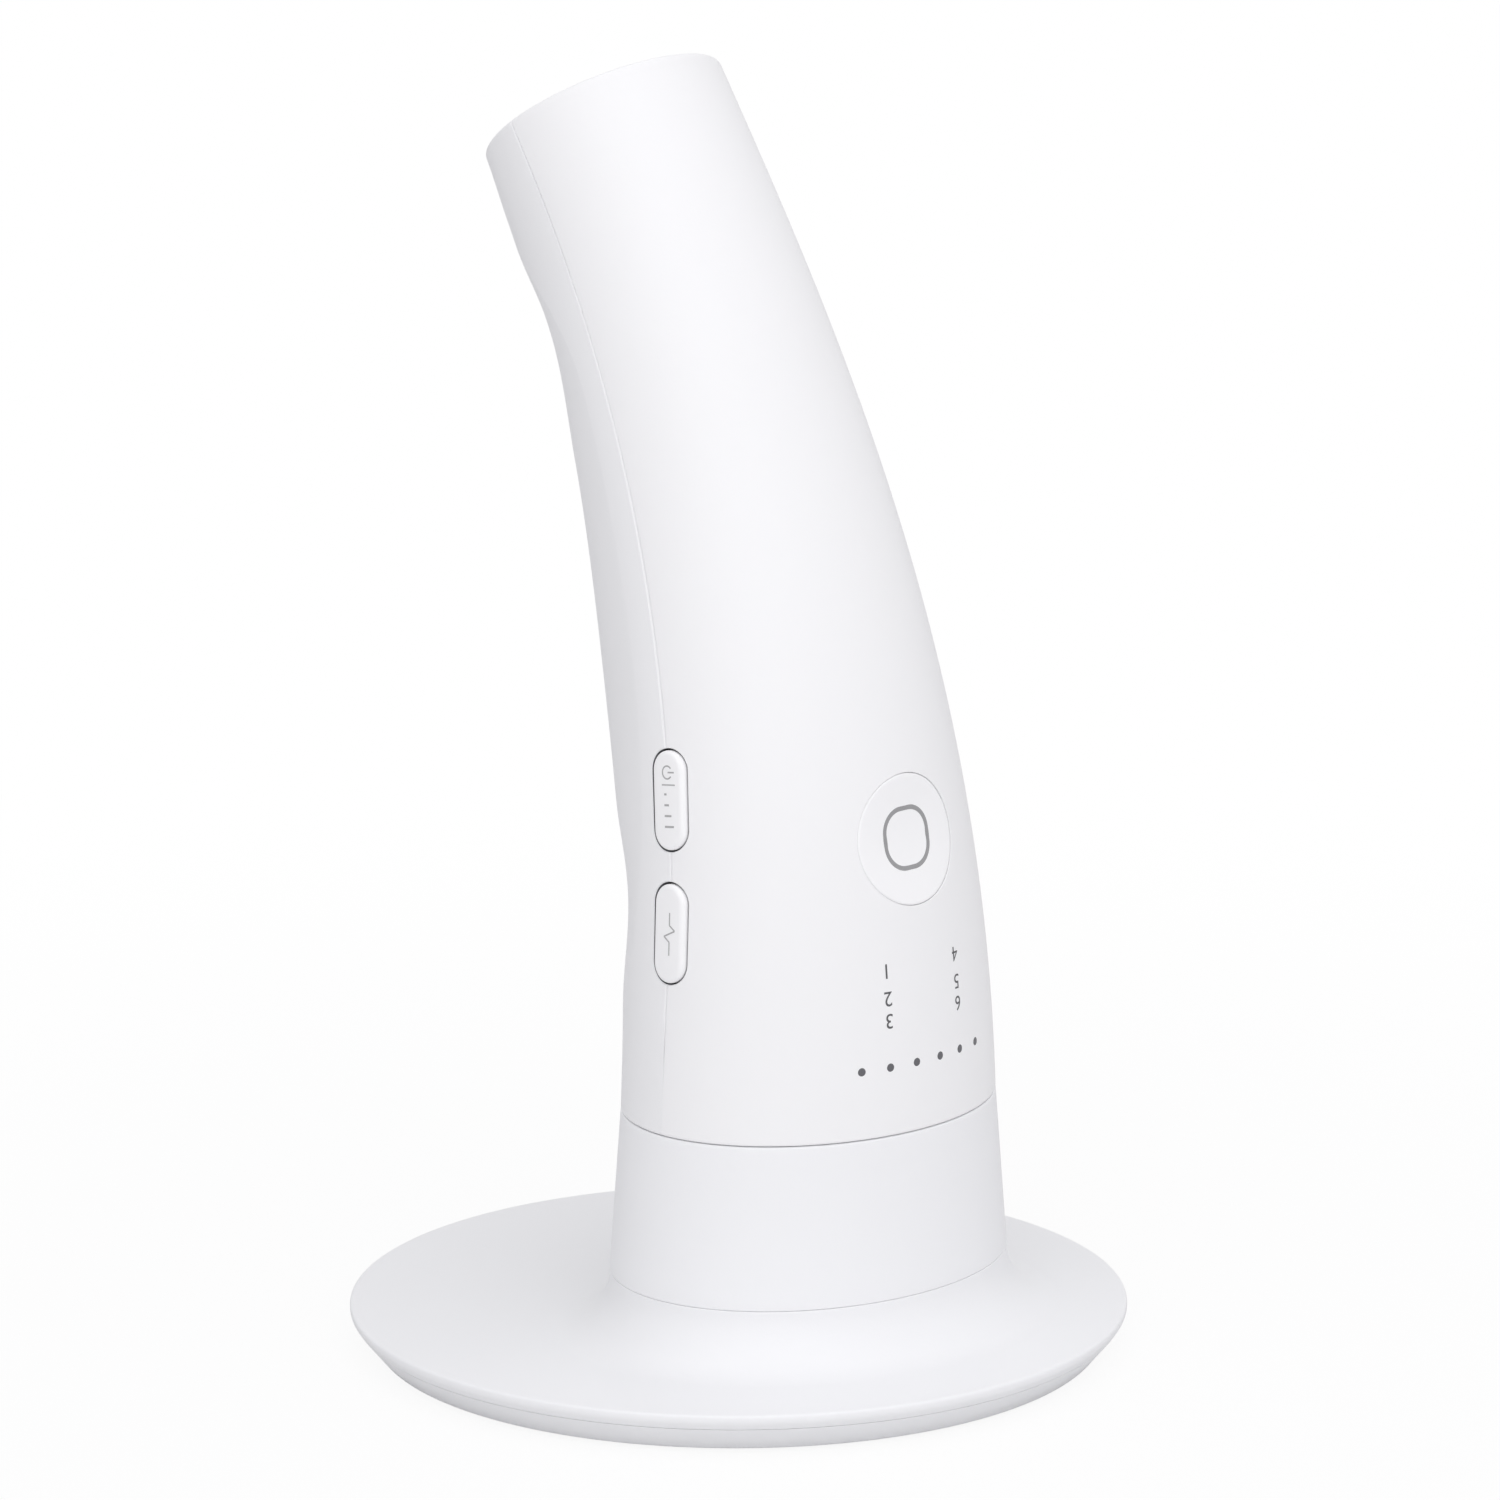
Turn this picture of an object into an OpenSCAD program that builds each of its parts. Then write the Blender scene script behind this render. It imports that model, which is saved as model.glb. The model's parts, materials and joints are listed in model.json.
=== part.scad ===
// Light-based epilator: a leaning handset, its head cap and a round weighted stand.
// The table is z = 0 and the disc's middle is x = y = 0. The handset's front faces -Y,
// it leans back towards +Y, and its two side buttons are on the -X side.

/* [Stand] */
// Widest diameter of the disc
disc_d = 120; // [114:1:126]
// Diameter where the chamfered underside meets the table
foot_d = 111; // [106:0.5:112]
// Height of the widest line of the rim
rim_z = 6; // [5.6:0.1:6.6]
// Height of the neck's top edge
neck_top = 16.7; // [16.2:0.1:18]
// Width of the neck's top edge
neck_w = 67; // [66:0.5:69]
// Depth of the neck's top edge, front to back
neck_depth = 53.7; // [53:0.1:56]
// How far the neck stands in front of the disc's middle
neck_forward = 15.3; // [10:0.1:20]
// Radius of the fillet between neck and disc
neck_fillet = 8.6; // [7:0.1:9]

/* [Handset] */
// Height of the seam between head cap and handset
seam_z = 41.6; // [41:0.1:43]
// Width of the body at that seam
seam_w = 62.8; // [62:0.2:65]
// Depth of the body at that seam
seam_depth = 50.6; // [50:0.2:53]
// Length of the body's curved middle line
body_len = 155; // [150:0.2:165]
// Lean of the body's far end from upright, in degrees
lean_end = 31.5; // [26:0.5:34]
// Wall of the moulded shells
wall = 2.2; // [2:0.1:2.4]
// How much deeper than the front the palm side swells
palm_swell = 3.7; // [2:0.1:4.5]
// Depth of the finger hollow near the head
hollow_low = 3.1; // [1:0.1:3.5]
// Depth of the finger hollow near the tail
hollow_high = 2.1; // [1:0.1:2.5]

/* [Buttons] */
// Diameter of the round flash button
flash_button_d = 19.9; // [18:0.1:21]
// How far the middle of the flash button lies below the body's curve
flash_dish = 1; // [0:0.1:1.2]
// Travel of the flash button
flash_travel = 0.6; // [0.4:0.1:0.6]
// Width of a side button
side_button_w = 6.4; // [5.8:0.1:7]
// Length of a side button
side_button_l = 15; // [14:0.1:15.4]
// Travel of a side button
side_travel = 0.4; // [0.2:0.1:0.4]
// Number of status lights
light_count = 6; // [4:1:6]
// Spacing of the status lights around the front
light_pitch = 5; // [4.6:0.1:5]

/* [Fan] */
// Side of the square cooling fan
fan_side = 30; // [28:1:30]
// Number of fan blades
blade_count = 7; // [5:1:9]

/* [Hidden] */

$fn = 48;
eps = 0.01;

// Colours
shell_white = [0.94, 0.94, 0.95];
stand_white = [0.92, 0.93, 0.95];
mark_grey = [0.62, 0.63, 0.66];
dark_rubber = [0.25, 0.25, 0.27];
board_green = [0.10, 0.38, 0.24];
steel = [0.72, 0.73, 0.75];
bright_metal = [0.86, 0.87, 0.89];
clear_glass = [0.80, 0.88, 0.95, 0.5];
part_black = [0.12, 0.12, 0.13];
sleeve_blue = [0.16, 0.18, 0.30];
copper = [0.72, 0.45, 0.20];
amber_glass = [0.75, 0.55, 0.35, 0.6];

// Gaps between neighbours
seam_gap = 0.3;       // between bodies that come apart
parting_gap = 0.25;   // between the two halves of the housing
button_gap = 0.2;     // round every button
fit_gap = 0.05;       // between a shaft and its bore

// Places along the body's middle line, as a share of its length
flash_at = 0.2597;
power_at = 0.3227;
ems_at = 0.1965;
lights_at = 0.0627;

// Shape of the housing

function ease(t) = let(c = max(0, min(1, t))) c * c * (3 - 2 * c);
// a smooth hump of height 1 at the middle, with its own reach below and above
function hump(u, mid, below, above) =
    let(t = (u - mid) / (u < mid ? below : above)) abs(t) < 1 ? (1 + cos(180 * t)) / 2 : 0;
function mix(a, b, t) = a + (b - a) * t;
function unit(v) = v / norm(v);

// lean of the middle line
function lean(u) = lean_end * (0.778 * u + 1.022 * u * u - 0.8 * u * u * u);

// half width, half depth to the front and half depth to the rear
function half_w(u) = seam_w / 2 * (1 - 0.257 * u - 0.543 * u * u + 0.42 * u * u * u);
function half_d(u) = seam_depth / 2 * (1 - 0.092 * u - 0.38 * u * u + 0.223 * u * u * u);
function rear_d(u) = half_d(u) + palm_swell * hump(u, 0.44, 0.4, 0.4)
    - hollow_low * hump(u, 0.21, 0.11, 0.11) - hollow_high * hump(u, 0.82, 0.15, 0.08);

// the parting line runs a little in front of the widest line and bends back below the side buttons
function part_angle(u) = 22.4 * u - 21.2 * u * u - 1.8 * hump(u, 0.12, 0.25, 0.16);
// the crease that bounds the palm side, measured back from the widest line
function crease_angle(u) =
    min(60, 8 + 16 * pow(max(0, (u - 0.72) / 0.125), 2) + 13 * pow(max(0, (0.5 - u) / 0.33), 3));
// how sharply the surface turns at the crease: it fades out at both ends
function crease_turn(u) = 9 * ease((u - 0.1) / 0.22) * ease((0.91 - u) / 0.04);

// the middle line, stepped from the seam to the tail
spine_steps = 60;
spine_step = body_len / spine_steps;
spine_points = [for (i = 0, y = -neck_forward, z = seam_z; i <= spine_steps;
    y = y + spine_step * sin(lean((i + 0.5) / spine_steps)),
    z = z + spine_step * cos(lean((i + 0.5) / spine_steps)), i = i + 1) [y, z]];
function spine(u) =
    let(k = max(0, min(1, u)) * spine_steps, i = min(floor(k), spine_steps - 1))
    mix(spine_points[i], spine_points[i + 1], k - i);

// a point of the cross-section at u: x across, q to the rear
function at(u, x, q) = let(p = spine(u), a = lean(u)) [x, p[0] + q * cos(a), p[1] - q * sin(a)];
// front surface, by the angle from the -X side round the front
function front_point(u, angle, inset = 0) =
    at(u, -(half_w(u) - inset) * cos(angle), -(half_d(u) - inset) * sin(angle));
function front_q(u, x, inset = 0) = -(half_d(u) - inset) * sqrt(1 - pow(x / (half_w(u) - inset), 2));
// palm side: side wall up to the crease, then an arc that starts steeper and meets rear_d at the middle
side_columns = 5;
arc_columns = 8;
rear_columns = 2 * (side_columns + arc_columns);
function rear_half(u, k, inset) =
    let(a = half_w(u) - inset, b = half_d(u) - inset, c = crease_angle(u), s0 = c + crease_turn(u),
        xa = a * cos(c) / cos(s0), e = (rear_d(u) - inset - b * sin(c)) / (1 - sin(s0)),
        q0 = rear_d(u) - inset - e)
    k <= side_columns
        ? let(t = c * k / side_columns) [-a * cos(t), b * sin(t)]
        : let(s = s0 + (90 - s0) * (k - side_columns) / arc_columns) [-xa * cos(s), q0 + e * sin(s)];
function rear_point(u, k, inset = 0) =
    let(left = k <= rear_columns / 2, p = rear_half(u, left ? k : rear_columns - k, inset))
    at(u, left ? p[0] : -p[0], p[1]);

// the skin of a lofted strip: outer points one way, inner points back
function strip_ring(outer, inner) = concat(outer, [for (i = [len(inner) - 1:-1:0]) inner[i]]);
function front_ring(u, from, to, n, out, in) =
    strip_ring([for (j = [0:n]) front_point(u, mix(from, to, j / n), out)],
        [for (j = [0:n]) front_point(u, mix(from, to, j / n), in)]);
function rear_line(u, edge, inset) = concat([front_point(u, 180 - edge, inset)],
    [for (k = [rear_columns:-1:0]) rear_point(u, k, inset)], [front_point(u, edge, inset)]);

// a closed solid through rings that are strips, so its ends are strips of quads too
module loft_strip(rings) {
    m = len(rings[0]);
    last = (len(rings) - 1) * m;
    sides = [for (i = [0:len(rings) - 2], j = [0:m - 1])
        let(a = i * m + j, b = i * m + (j + 1) % m) each [[a, b, b + m], [a, b + m, a + m]]];
    ends = [for (j = [0:m / 2 - 2]) let(a = j, b = j + 1, c = m - 2 - j, d = m - 1 - j)
        each [[a, c, b], [a, d, c], [last + a, last + b, last + c], [last + a, last + c, last + d]]];
    polyhedron(points = [for (r = rings) each r], faces = concat(sides, ends));
}

// a closed solid through full rings
module loft_solid(rings) {
    m = len(rings[0]);
    last = (len(rings) - 1) * m;
    sides = [for (i = [0:len(rings) - 2], j = [0:m - 1])
        let(a = i * m + j, b = i * m + (j + 1) % m) each [[a, b + m, b], [a, a + m, b + m]]];
    polyhedron(points = [for (r = rings) each r],
        faces = concat(sides, [[for (j = [0:m - 1]) j]], [[for (j = [m - 1:-1:0]) last + j]]));
}

// Places on the body

// inside the body at u: +Z along the middle line, +Y to the rear
module inside(u) {
    p = spine(u);
    translate([0, p[0], p[1]]) rotate([-lean(u), 0, 0]) children();
}

// on the front surface: +Z out of the surface, +Y up along the body
module on_skin(u, angle) {
    up0 = unit(front_point(u + 0.01, angle) - front_point(u - 0.01, angle));
    across = unit(front_point(u, angle + 1) - front_point(u, angle - 1));
    out = unit(cross(across, up0));
    side = cross(up0, out);
    o = front_point(u, angle);
    multmatrix([for (r = [0:2]) [side[r], up0[r], out[r], o[r]]]) children();
}

// on the -X side, over the parting line, turned to run along the row of side buttons
side_turn = 3;
module on_side(u) {
    on_skin(u, part_angle(u)) rotate(-side_turn) children();
}

// on the middle line of the neck, at a height
module on_neck(z) {
    translate([0, -neck_forward, z]) children();
}

// Plain shapes

oval_steps = 56;
module oval(a, b) {
    polygon([for (i = [0:oval_steps - 1]) [a * cos(360 * i / oval_steps), b * sin(360 * i / oval_steps)]]);
}

module oval_disc(a, b, h) {
    linear_extrude(h) oval(a, b);
}

module slab(w, d, h) {
    translate([-w / 2, -d / 2, 0]) cube([w, d, h]);
}

module rounded_rect(w, d, r) {
    square([w - 2 * r, d], center = true);
    square([w, d - 2 * r], center = true);
    for (x = [-1, 1], y = [-1, 1]) translate([x * (w / 2 - r), y * (d / 2 - r)]) circle(r);
}

module stadium(w, l) {
    square([w, l - w], center = true);
    for (y = [-1, 1]) translate([0, y * (l - w) / 2]) circle(w / 2);
}

module screw(head_r, head_h, shank_r, shank_l) {
    cylinder(r = head_r, h = head_h);
    translate([0, 0, head_h - eps]) cylinder(r = shank_r, h = shank_l + eps);
}

// a four-legged push switch standing on z = 0, with its plunger on top
switch_body = 3.4;
switch_plunger = 1;
module push_switch() {
    slab(6, 6, switch_body);
    translate([0, 0, switch_body - eps]) cylinder(r = 1.7, h = switch_plunger + eps);
    for (x = [-1, 1], y = [-1, 1]) translate([x * 3.1, y * 2.2, 0.35]) slab(0.8, 0.7, 0.7);
}

// Stand

parting_z = 4.4;
plate_top = 7.6;
rim_top = rim_z + 0.75;
cover_z = 0.4;
feet_circle = 44;
screw_circle = 32;
socket_a = neck_w / 2 - 2.3;
socket_b = neck_depth / 2 - 2.3;
socket_floor = 6.2;
foot_slope = (disc_d - foot_d) / 2 / (rim_z - 0.6);
function chamfer_r(z) = foot_d / 2 + foot_slope * z;
function screw_place(i) = [screw_circle * cos(120 * i + 90), screw_circle * sin(120 * i + 90)];

// one outline of the top shell: the neck's oval grown by g, blending into a circle
shell_steps = 56;
function shell_ring(g, to_circle, r, z) = [for (i = [0:shell_steps - 1])
    let(t = 360 * i / shell_steps,
        p = [(neck_w / 2 + g) * cos(t), (neck_depth / 2 + g) * sin(t) - neck_forward],
        c = [r * cos(t), r * sin(t)]) [mix(p[0], c[0], to_circle), mix(p[1], c[1], to_circle), z]];
fillet_steps = 6;
disc_steps = 5;
function plate_z(t) = mix(plate_top, rim_top, t);

module base_shell() {
    rings = concat(
        [shell_ring(0, 0, 0, neck_top)],
        [for (i = [0:fillet_steps]) let(a = 90 * i / fillet_steps)
            shell_ring(neck_fillet * (1 - cos(a)), 0, 0, plate_top + neck_fillet * (1 - sin(a)))],
        [for (i = [1:disc_steps]) let(t = i / disc_steps)
            shell_ring(neck_fillet, t, disc_d / 2 - 0.9, plate_z(t))],
        [shell_ring(0, 1, disc_d / 2 - 0.25, rim_z + 0.5),
            shell_ring(0, 1, disc_d / 2, rim_z + 0.1),
            shell_ring(0, 1, disc_d / 2, rim_z - 0.6),
            shell_ring(0, 1, chamfer_r(parting_z), parting_z)]);
    color(stand_white) difference() {
        union() {
            loft_solid([for (i = [len(rings) - 1:-1:0]) rings[i]]);
            for (i = [0:2]) translate([screw_place(i)[0], screw_place(i)[1], parting_z - 0.8])
                cylinder(r = 3.6, h = 1);
        }
        on_neck(socket_floor) oval_disc(socket_a, socket_b, neck_top);
        for (i = [0:2]) translate([screw_place(i)[0], screw_place(i)[1], parting_z - 1])
            cylinder(r = 1.45, h = 2.4);
    }
}

module bottom_cover() {
    top = parting_z - 0.15;
    color(stand_white) difference() {
        union() {
            difference() {
                rotate_extrude($fn = 120) polygon([[0, cover_z], [chamfer_r(cover_z), cover_z],
                    [chamfer_r(top), top], [chamfer_r(top) - 2, top], [chamfer_r(2.2) - 2, 2.2], [0, 2.2]]);
                for (i = [0:3]) rotate(45 + 90 * i) translate([feet_circle, 0, 0]) cylinder(r = 6.1, h = 1.6);
            }
            for (i = [0:2]) translate([screw_place(i)[0], screw_place(i)[1], cover_z])
                cylinder(r = 4.4, h = 3);
        }
        for (i = [0:2]) translate([screw_place(i)[0], screw_place(i)[1], 0]) {
            cylinder(r = 3, h = 2.1);
            cylinder(r = 1.6, h = 5);
        }
    }
}

module weight_plate() {
    color(steel) difference() {
        translate([0, 0, 2.3]) cylinder(r = 50, h = 1.9, $fn = 120);
        for (i = [0:2]) translate([screw_place(i)[0], screw_place(i)[1], 2]) cylinder(r = 4.7, h = 3);
    }
}

module rubber_feet() {
    color(dark_rubber) for (i = [0:3]) rotate(45 + 90 * i) translate([feet_circle, 0, 0])
        rotate_extrude() polygon([[0, 0], [5.4, 0], [6, 0.5], [6, 1.55], [0, 1.55]]);
}

module stand_screws() {
    color(steel) for (i = [0:2]) translate([screw_place(i)[0], screw_place(i)[1], 0.7])
        screw(2.6, 1.3, 1.4, 3.4);
}

// Soft cup that the head stands in
liner_wall = 1.4;
liner_floor = 1.2;
module socket_liner() {
    color(mark_grey) difference() {
        on_neck(socket_floor + 0.1) oval_disc(socket_a - 0.1, socket_b - 0.1, neck_top - socket_floor - 0.9);
        on_neck(socket_floor + 0.1 + liner_floor)
            oval_disc(socket_a - 0.1 - liner_wall, socket_b - 0.1 - liner_wall, 20);
    }
}

// Head cap

cap_bottom = 7.9;
cap_floor = 2.2;
cap_wall = 2.4;
cap_edge = 0.3;     // chamfer along both seams
spigot_a = socket_a - 2.0;
spigot_b = socket_b - 2.0;
ledge_z = neck_top + seam_gap;
cap_top = seam_z - seam_gap;
window_w = 37;
window_d = 15;
function collar_a(z) = mix(neck_w, seam_w, (z - neck_top) / (seam_z - neck_top)) / 2;
function collar_b(z) = mix(neck_depth, seam_depth, (z - neck_top) / (seam_z - neck_top)) / 2;
function collar_ring(z, inset) = [for (i = [0:oval_steps - 1]) let(t = 360 * i / oval_steps)
    [(collar_a(z) - inset) * cos(t), (collar_b(z) - inset) * sin(t) - neck_forward, z]];

module head_cap() {
    color(stand_white) difference() {
        union() {
            loft_solid([collar_ring(ledge_z, cap_edge), collar_ring(ledge_z + cap_edge, 0),
                collar_ring(cap_top - cap_edge, 0), collar_ring(cap_top, cap_edge)]);
            on_neck(cap_bottom) oval_disc(spigot_a, spigot_b, ledge_z - cap_bottom + 1);
        }
        loft_solid([collar_ring(ledge_z + 2, cap_wall), collar_ring(cap_top + 1, cap_wall)]);
        on_neck(cap_bottom + cap_floor) oval_disc(spigot_a - 2.2, spigot_b - 2.2, 20);
        on_neck(cap_bottom - 1) linear_extrude(10) rounded_rect(window_w, window_d, 3);
        on_neck(cap_bottom - eps) electrode_pair(0.15);
        on_neck(cap_bottom - eps) sensor_discs(0.1);
    }
}

module cap_lens() {
    color(clear_glass) on_neck(cap_bottom + cap_floor + 0.05)
        linear_extrude(1.5) rounded_rect(window_w + 4, window_d + 4, 3);
}

// two bowed metal bars beside the window
module electrode_pair(grow) {
    for (s = [-1, 1]) linear_extrude(1 + grow) difference() {
        oval(spigot_a - 2.2 + grow, spigot_b - 2.2 + grow);
        oval(spigot_a - 6 - grow, spigot_b - 6 - grow);
        translate([0, -s * 40]) square([80, 80 + 2 * 9 - 2 * grow], center = true);
    }
}

module ems_electrodes() {
    color(bright_metal) on_neck(cap_bottom) electrode_pair(0);
}

module sensor_discs(grow) {
    for (x = [-1, 1], y = [-1, 1]) translate([x * 23.2, y * 4.2, 0]) cylinder(r = 1.6 + grow, h = 1 + grow);
}

module skin_sensors() {
    color(part_black) on_neck(cap_bottom) sensor_discs(0);
}

magnet_x = 23;
magnet_y = 5.5;
module cap_magnets() {
    color(steel) on_neck(cap_bottom + cap_floor) for (x = [-1, 1], y = [-1, 1])
        translate([x * magnet_x, y * magnet_y, 0]) cylinder(r = 2.2, h = 2);
}

// Housing

shell_rings = 40;
front_columns = 24;
half_gap_angle = parting_gap / seam_w * 360 / PI;
rim_edge = 0.5;     // bevel round the open end at the tail
// the rings of both halves: the last two make the bevel
function shell_u(i) = i < shell_rings ? i / shell_rings : i > shell_rings ? 1 : 1 - rim_edge / body_len;
function shell_inset(i) = i > shell_rings ? rim_edge : 0;

module flash_bore(grow) {
    on_skin(flash_at, 90) translate([0, 0, -12]) cylinder(r = flash_button_d / 2 + grow, h = 20);
}

module side_bores() {
    for (u = [power_at, ems_at]) on_side(u) translate([0, 0, -6])
        linear_extrude(12) stadium(side_button_w + 2 * button_gap, side_button_l + 2 * button_gap);
}

// places of the status lights across the front
function light_x(i) = half_w(lights_at)
    * sin(light_pitch * (i - (light_count - 1) / 2) / half_w(lights_at) * 180 / PI * 1.01);

boss_x = 22;
boss_q = 11.5;
post_low = 0.155;
post_high = 0.72;
post_x = 14;
chassis_q = -6;
chassis_t = 1.6;

module head_bosses(q_side) {
    for (x = [-1, 1]) on_neck(flange_top + 0.05) translate([x * boss_x, q_side * boss_q, 0]) difference() {
        cylinder(r = 3, h = 7);
        translate([0, 0, -1]) cylinder(r = 1.05, h = 7);
    }
}

// posts that the chassis is screwed to: they run from the front wall back to the chassis
module chassis_post(u, x) {
    back = chassis_q - chassis_t - 0.05;
    front = front_q(u, x, 1.1);
    inside(u) translate([x, back, 0]) rotate([90, 0, 0]) difference() {
        cylinder(r = 2.8, h = back - front);
        translate([0, 0, -1]) cylinder(r = 1.05, h = 7);
    }
}

module front_shell() {
    color(shell_white) difference() {
        union() {
            loft_strip([for (i = [0:shell_rings + 1]) let(u = shell_u(i), e = part_angle(u) + half_gap_angle)
                front_ring(u, 180 - e, e, front_columns, shell_inset(i), wall)]);
            head_bosses(-1);
            for (x = [-1, 1]) chassis_post(post_low, x * post_x);
            chassis_post(post_high, 0);
        }
        flash_bore(button_gap);
        side_bores();
        for (i = [0:light_count - 1]) inside(lights_at) translate([light_x(i), -15, 0])
            rotate([90, 0, 0]) cylinder(r = 0.7, h = 15);
    }
}

module rear_shell() {
    color(shell_white) difference() {
        union() {
            loft_strip([for (i = [shell_rings + 1:-1:0])
                let(u = shell_u(i), e = part_angle(u) - half_gap_angle)
                strip_ring(rear_line(u, e, shell_inset(i)), rear_line(u, e, wall))]);
            head_bosses(1);
        }
        side_bores();
    }
}

// End plate with exhaust slots and the hole for the power inlet
tail_a = half_w(1) - wall - 0.15;
tail_b = half_d(1) - wall - 0.15;
tail_recess = 0.5;
tail_t = 2;
jack_q = 5;
module tail_cap() {
    color(shell_white) inside(1) difference() {
        translate([0, 0, -tail_recess - 6]) oval_disc(tail_a, tail_b, 6);
        translate([0, 0, -tail_recess - 6 - eps]) oval_disc(tail_a - 1.4, tail_b - 1.4, 6 - tail_t);
        translate([0, jack_q, -10]) cylinder(r = 4, h = 12);
        for (i = [-3:3]) translate([3.2 * i, -6.5, -10]) linear_extrude(12) stadium(1.5, 10 - abs(i));
    }
}

module dc_jack() {
    color(part_black) inside(1) translate([0, jack_q, -tail_recess]) difference() {
        union() {
            translate([0, 0, -tail_t]) cylinder(r = 3.9, h = tail_t);
            translate([0, 0, -13]) cylinder(r = 5.4, h = 13 - tail_t - 0.05);
            translate([0, 0, -tail_t - 1]) cylinder(r = 3.9, h = 2);
        }
        difference() {
            translate([0, 0, -9.5]) cylinder(r = 2.8, h = 10);
            translate([0, 0, -9.6]) cylinder(r = 1, h = 9);
        }
    }
}

// Lamp unit in the nose

nose_a = 24.5;
nose_b = 18.3;
nose_wall = 1.8;
nose_bottom = 14.5;
nose_floor = 2;
flange_z = 43.5;
flange_top = 46;
sink_z = 34;
sink_w = 34;
sink_d = 18;
glass_z = nose_bottom + nose_floor;
plate_x = 21.16;    // steel plates that the magnets pull

module lamp_housing() {
    color(shell_white) difference() {
        union() {
            on_neck(nose_bottom) difference() {
                oval_disc(nose_a, nose_b, flange_top - nose_bottom);
                translate([0, 0, nose_floor])
                    oval_disc(nose_a - nose_wall, nose_b - nose_wall, flange_z - nose_bottom - nose_floor);
            }
            on_neck(flange_z)
                oval_disc(half_w(0.03) - wall - 0.3, half_d(0.03) - wall - 0.3, flange_top - flange_z);
            for (x = [-1, 1], y = [-1, 1]) on_neck(nose_bottom) translate([x * 18.6, y * 7.2, 0])
                cylinder(r = 1.6, h = sink_z - nose_bottom);
        }
        on_neck(nose_bottom - 1) linear_extrude(6) rounded_rect(window_w - 5, window_d - 3, 2);
        on_neck(flange_z - 1) linear_extrude(6) square([sink_w + 1.4, sink_d + 1.4], center = true);
        for (x = [-1, 1], y = [-1, 1]) {
            on_neck(flange_z - 1) translate([x * boss_x, y * boss_q, 0]) cylinder(r = 1.25, h = 6);
            on_neck(flange_top - 2) translate([x * 12, y * 12, 0]) cylinder(r = 1.1, h = 4);
            on_neck(nose_bottom - eps) translate([x * plate_x, y * magnet_y, 0]) cylinder(r = 2.2, h = 1.2);
        }
    }
}

module magnet_plates() {
    color(steel) for (x = [-1, 1], y = [-1, 1]) on_neck(nose_bottom)
        translate([x * plate_x, y * magnet_y, 0]) cylinder(r = 2.1, h = 1.1);
}

module filter_glass() {
    color(amber_glass) on_neck(glass_z + 0.05) linear_extrude(2.4) rounded_rect(35, 13, 1.5);
}

// trough whose wall follows a parabola, open towards the glass
reflector_l = 34;
function trough(y, t) = [y, 0.19 * y * y + t];
module reflector() {
    reach = 7.4;
    n = 16;
    color(bright_metal) on_neck(sink_z - 0.05) rotate([0, 90, 0]) rotate(90) mirror([0, 1, 0])
        translate([0, 0, -reflector_l / 2]) linear_extrude(reflector_l) union() {
            polygon(concat([for (i = [-n:n]) let(p = trough(reach * i / n, 1)) [p[0], p[1]]],
                [for (i = [n:-1:-n]) let(p = trough(reach * i / n, 1.8)) [p[0] * 0.93, p[1]]]));
            translate([-3, 0]) square([6, 1.7]);
        }
}

lamp_z = sink_z - 5.6;
module flash_lamp() {
    color(clear_glass) on_neck(lamp_z) rotate([0, 90, 0]) {
        translate([0, 0, -21]) cylinder(r = 2, h = 42);
        for (s = [-1, 1]) translate([0, 0, s * 21.2]) cylinder(r = 0.5, h = 1.6, center = true);
    }
}

module lamp_holders() {
    color(dark_rubber) for (s = [-1, 1]) on_neck(lamp_z) translate([s * 19.2, 0, 0]) difference() {
        translate([-1.3, -4, -3.6]) cube([2.6, 8, sink_z - lamp_z + 3.5]);
        rotate([0, 90, 0]) cylinder(r = 2.05, h = 10, center = true);
    }
}

fin_count = 10;
module heat_sink() {
    color(bright_metal) on_neck(sink_z) {
        slab(sink_w, sink_d, 2.6);
        pitch = (sink_w - 1) / (fin_count - 1);
        for (i = [0:fin_count - 1]) translate([(i - (fin_count - 1) / 2) * pitch, 0, 2.5])
            slab(1, sink_d, 9);
    }
}

// Fan

fan_z = flange_top + 0.05;
fan_h = 10;
fan_bore = fan_side / 2 - 0.8;
hub_r = 6.8;
module fan_frame() {
    color(part_black) on_neck(fan_z) {
        difference() {
            linear_extrude(fan_h) rounded_rect(fan_side, fan_side, 2);
            translate([0, 0, -1]) cylinder(r = fan_bore, h = fan_h + 2, $fn = 72);
            for (x = [-1, 1], y = [-1, 1]) translate([x * 12, y * 12, -1]) cylinder(r = 1.3, h = fan_h + 2);
        }
        cylinder(r = hub_r, h = 1.4);
        for (i = [0:2]) rotate(120 * i + 30) translate([0, -0.9, 0]) cube([fan_bore + 0.2, 1.8, 1.4]);
        cylinder(r = 1, h = 7.6);
    }
}

module fan_rotor() {
    color(part_black) on_neck(fan_z) difference() {
        union() {
            translate([0, 0, 2.2]) cylinder(r = hub_r, h = 6.8);
            intersection() {
                for (i = [0:blade_count - 1]) rotate(360 / blade_count * i) translate([0, 0, 5.6])
                    rotate([38, 0, 0]) translate([hub_r - 1, -4.2, -0.4]) cube([9, 8.4, 0.8]);
                translate([0, 0, 2.4]) cylinder(r = fan_bore - 0.5, h = 6.4, $fn = 72);
            }
        }
        translate([0, 0, 1]) cylinder(r = 1 + fit_gap, h = 7);
    }
}

module fan_screws() {
    color(steel) for (x = [-1, 1], y = [-1, 1]) on_neck(fan_z + fan_h + 1.3) translate([x * 12, y * 12, 0])
        mirror([0, 0, 1]) screw(1.8, 1.25, 1.05, fan_h + 1.6);
}

module head_screws() {
    color(steel) for (x = [-1, 1], y = [-1, 1]) on_neck(flange_z - 1.3) translate([x * boss_x, y * boss_q, 0])
        screw(1.9, 1.25, 1, 7);
}

// Chassis and electronics

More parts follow.
